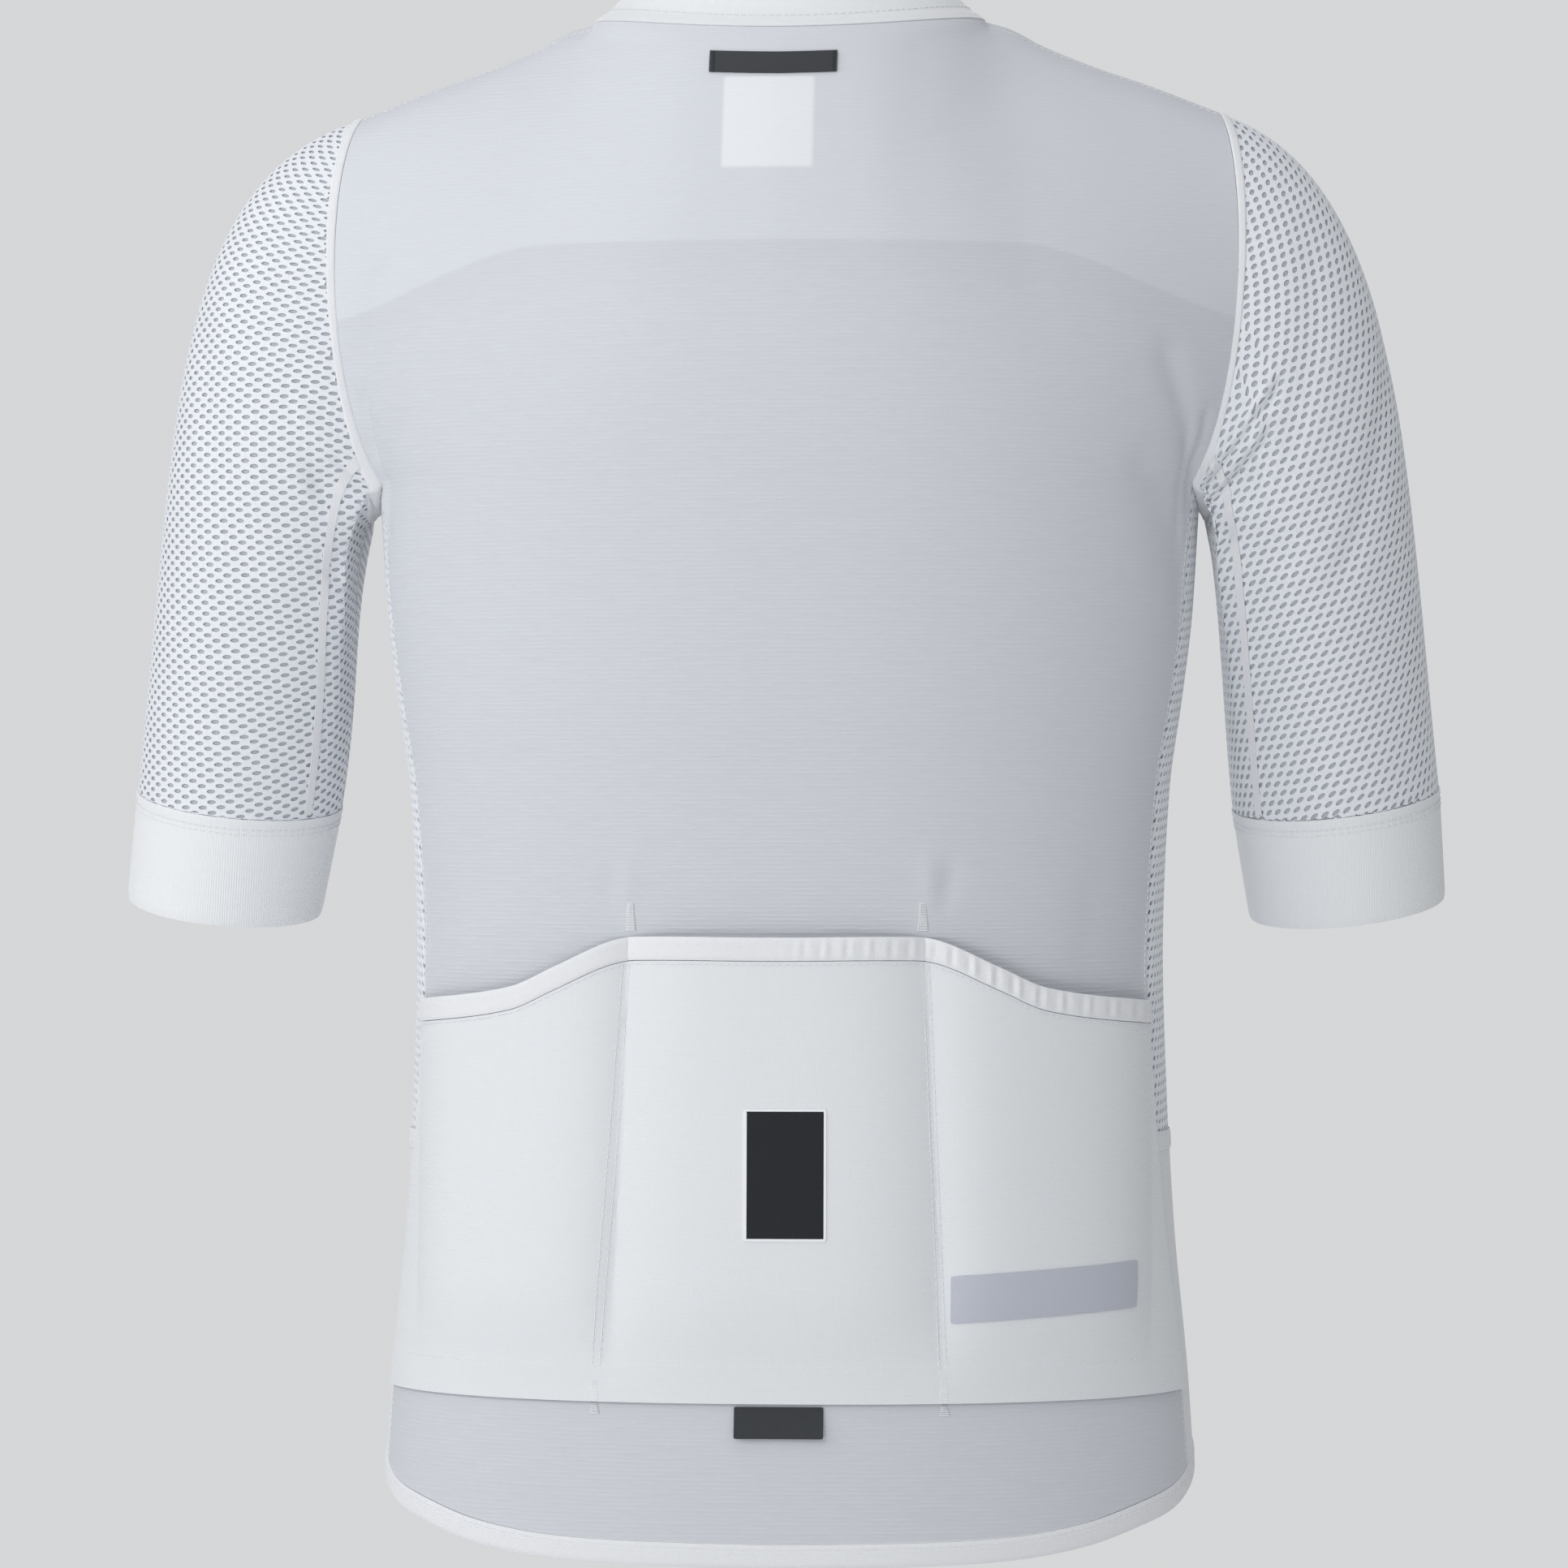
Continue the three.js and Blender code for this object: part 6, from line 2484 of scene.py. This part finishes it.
@dataclass
class Zip:
    """The closed zip: tapes, teeth, slider and pull tab."""

    shop: Workshop
    tape_share: float = 0.05
    set_back: float = 1.9
    slider_share: float = 2.72
    slider_length: float = 9
    core_cloth: float = 0.9
    tape_cloth: float = 0.5
    core_steps: Steps = (4, 300)
    tape_steps: Steps = (8, 240)

    def line(self, x: Array, share: Array) -> Array:
        """The zip's middle line, moved aside by x, up the front and the collar.

        Args:
            x: Distances from the middle.
            share: 0 at the hem, 2 at the neck and 3 at the top of the collar.

        Returns:
            The points.
        """
        form = self.shop.form
        x, share = spread(x, share)
        low = form.panel(Face.FRONT, Hand.LEFT, np.zeros_like(share), np.minimum(share, 2))
        high = form.collar(np.full_like(share, math.pi), np.maximum(share - 2, 0))
        place = np.where((share < 2)[..., None], low, high)
        place[..., 0] = x
        return place

    def tape(self, hand: Hand, across: Array, share: Array) -> Array:
        """A zip tape's surface behind a front and the collar.

        Args:
            hand: The wearer's side.
            across: Shares of the half width.
            share: As line has it.

        Returns:
            The points.
        """
        form = self.shop.form
        low = form.panel(Face.FRONT, hand, across, np.minimum(share, 2))
        angle = math.pi - math.pi / 2 * across / form.neck_share
        high = form.collar(hand.value * angle, np.maximum(share - 2, 0))
        return np.where((share < 2)[..., None], low, high)

    def build(self) -> None:
        """Makes the zip."""
        form, shop = self.shop.form, self.shop
        end = self.slider_share - self.slider_length / 2 / form.collar_height - 0.03
        u, v = grid((-1.1, 1.1), (-0.02, end), self.core_steps)
        place = self.line(u, v)
        wall = ClothWall("zip_core", place, points(0 * u, 0, -150), self.core_cloth)
        core = shop.make(wall, shop.finishes.coil, ["zip_chain"])
        log.info("%s stands for the closed row of teeth", core.name)
        paths = []
        run = np.linspace(-0.015, end, 500)
        for aside in (-0.62, 0.62):
            paths.append(path_on(self.line, aside + 0 * run, run, points(0 * run, 0, -150)))
        tooth = spindle("tooth", ((-0.42, 0.95), (-0.3, 1.12), (0.3, 1.12), (0.42, 0.95)), 6, 0.6)
        shop.sewing.run("zip_teeth", paths, tooth, 1.25, 0.45, shop.finishes.coil)
        bpy.data.objects.remove(tooth)
        for hand in Hand:
            u, v = grid((0.002, self.tape_share), (0, 2.97), self.tape_steps)
            place = self.tape(hand, u, v)
            inner = points(0 * u, 0, -150)
            name = f"zip_tape_{hand.side}_cloth"
            wall = ClothWall(name, place, inner, self.tape_cloth, offset=-self.set_back)
            piece = shop.make(wall, shop.finishes.tape, [f"zip_tape_{hand.side}"])
            declare(piece, wall)
        for node, body in (("zip_slider", GARMENT), ("zip_pull", PULL)):
            self.rounded_metal(node, body)

    def rounded_metal(self, node: str, body: str) -> None:
        """Copies a metal solid, rounds its edges and dresses it.

        Args:
            node: The solid.
            body: The body that it moves with.
        """
        source = bpy.data.objects[node]
        piece = link(f"{node}_metal", source.data.copy())
        weld = piece.modifiers.new("weld", "WELD")
        weld.merge_threshold = 0.00002
        bevel = piece.modifiers.new("bevel", "BEVEL")
        bevel.width = 0.00022
        bevel.segments = 3
        bevel.limit_method = "ANGLE"
        bevel.angle_limit = math.radians(40)
        plain_mesh(piece)
        smooth_shade(piece.data, 35)
        self.shop.wardrobe.dress(piece, self.shop.finishes.metal, [node], body)


# Room, camera and light


@dataclass
class Studio:
    """A plain pale room with soft light, seen as the garment is seen.

    Args:
        distance: From the camera to the garment's middle, in metres.
        yaw: How far the camera stands to the wearer's right of straight behind, in degrees.
        height: The camera's height.
        frame_width: What the picture spans at the garment's middle, in metres.
        aside: The garment's middle from the picture's middle, in metres.
        floor_z: Height of the floor.
    """

    distance: float = 2.6
    yaw: float = 3.5
    height: float = -0.337
    frame_width: float = 0.6955
    aside: float = 0.0025
    floor_z: float = -0.95

    def build(self) -> None:
        """Places the camera, the lights, the floor and the world."""
        bpy.context.scene.view_settings.view_transform = "Standard"
        self.camera()
        self.world()
        self.floor()
        self.light("high key", (1.0, 2.7, 0.9), 1.6, 19.3)
        self.light("side key", (2.6, 1.2, 0.6), 1.6, 21.4)
        self.light("top", (0.2, 0.4, 2.2), 2.2, 14.0)
        self.light("low fill", (0.5, 2.4, -1.6), 1.8, 36.0)
        self.light("front", (0.3, -2.6, 0.6), 2.0, 30.0)

    def camera(self) -> None:
        """Makes the camera at the picture's viewing angle."""
        data = bpy.data.cameras.new("camera")
        data.sensor_width = 36.0
        data.lens = data.sensor_width * self.distance / self.frame_width
        data.clip_end = 50.0
        camera = bpy.data.objects.new("camera", data)
        bpy.context.scene.collection.objects.link(camera)
        yaw = math.radians(self.yaw)
        x = -self.distance * math.sin(yaw) + self.aside
        camera.location = (x, self.distance * math.cos(yaw), self.height)
        camera.rotation_euler = (math.pi / 2, 0.0, math.pi + yaw)
        bpy.context.scene.camera = camera

    def light(self, name: str, place: Sequence[float], size: float, power: float) -> None:
        """Makes a square area light that faces the garment's middle.

        Args:
            name: The light's name.
            place: Where it stands.
            size: Length of its sides.
            power: Its power in watts.
        """
        data = bpy.data.lights.new(name, "AREA")
        data.size = size
        data.energy = power
        made = bpy.data.objects.new(name, data)
        bpy.context.scene.collection.objects.link(made)
        made.location = place
        towards = np.array([0.0, 0.0, -0.33]) - np.array(place)
        flat = math.hypot(towards[0], towards[1])
        turn = math.atan2(towards[1], towards[0]) - math.pi / 2
        made.rotation_euler = (math.atan2(flat, -towards[2]), 0.0, turn)

    def world(self) -> None:
        """Makes the pale surroundings, brighter to the eye than their light on the cloth."""
        world = bpy.data.worlds.new("room")
        world.use_nodes = True
        bpy.context.scene.world = world
        nodes, links = world.node_tree.nodes, world.node_tree.links
        seen = nodes["Background"]
        seen.inputs[0].default_value = (0.672, 0.676, 0.684, 1.0)
        lit = nodes.new("ShaderNodeBackground")
        lit.inputs[0].default_value = (0.915, 0.932, 0.955, 1.0)
        lit.inputs[1].default_value = 0.493
        path = nodes.new("ShaderNodeLightPath")
        mix = nodes.new("ShaderNodeMixShader")
        links.new(path.outputs["Is Camera Ray"], mix.inputs[0])
        links.new(lit.outputs[0], mix.inputs[1])
        links.new(seen.outputs[0], mix.inputs[2])
        links.new(mix.outputs[0], nodes["World Output"].inputs[0])

    def floor(self) -> None:
        """Lays a round pale floor below the garment."""
        count, radius = 96, 1.45
        turns = [2 * math.pi * k / count for k in range(count)]
        ring = [(radius * math.cos(turn), radius * math.sin(turn), self.floor_z) for turn in turns]
        mesh = bpy.data.meshes.new("floor")
        mesh.from_pydata(ring, [], [tuple(range(count))])
        floor = link("floor", mesh)
        shader = Shader("floor_paper")
        grain = shader.noise(shader.coordinates(), 60.0)
        colour = shader.mix(grain, (0.74, 0.745, 0.75, 1.0), (0.77, 0.775, 0.78, 1.0))
        floor.data.materials.append(shader.surface({"Base Color": colour, "Roughness": 0.9}))
        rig.stage(floor)


def box_rows(box: Sequence[Sequence[float]]) -> list[list[float]]:
    """A box's corners as plain lists of numbers."""
    return [[float(value) for value in corner] for corner in box]


def main() -> None:
    """Builds the studio and every piece of the jersey."""
    logging.basicConfig(level=logging.INFO, format="%(name)s: %(message)s")
    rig.load()
    cad_box = box_rows(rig.bounds())
    Studio().build()
    wardrobe = Wardrobe(Finishes())
    sewing = PathWork(path_tree(), wardrobe)
    stitch = spindle("stitch", ((-1.2, 0.1), (-0.75, 0.24), (0.75, 0.24), (1.2, 0.1)), 5, 0.75)
    bar = spindle("bar", ((-0.28, 0.5), (-0.2, 0.85), (0.2, 0.85), (0.28, 0.5)), 6, 0.35)
    shop = Workshop(Form(), wardrobe, sewing, stitch, bar)
    lattice = lattice_tree()
    Panels(shop).build()
    Sides(shop, lattice).build()
    Sleeves(shop, lattice).build()
    Collar(shop).build()
    Hem(shop).build()
    Pockets(shop).build()
    NeckLabels(shop).build()
    Zip(shop).build()
    for shape in (stitch, bar):
        bpy.data.objects.remove(shape)
    with open(SIZE_FILE, "w", encoding="utf-8") as out:
        json.dump({"cad": cad_box, "visual": box_rows(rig.bounds())}, out)


if __name__ == "__main__":
    main()
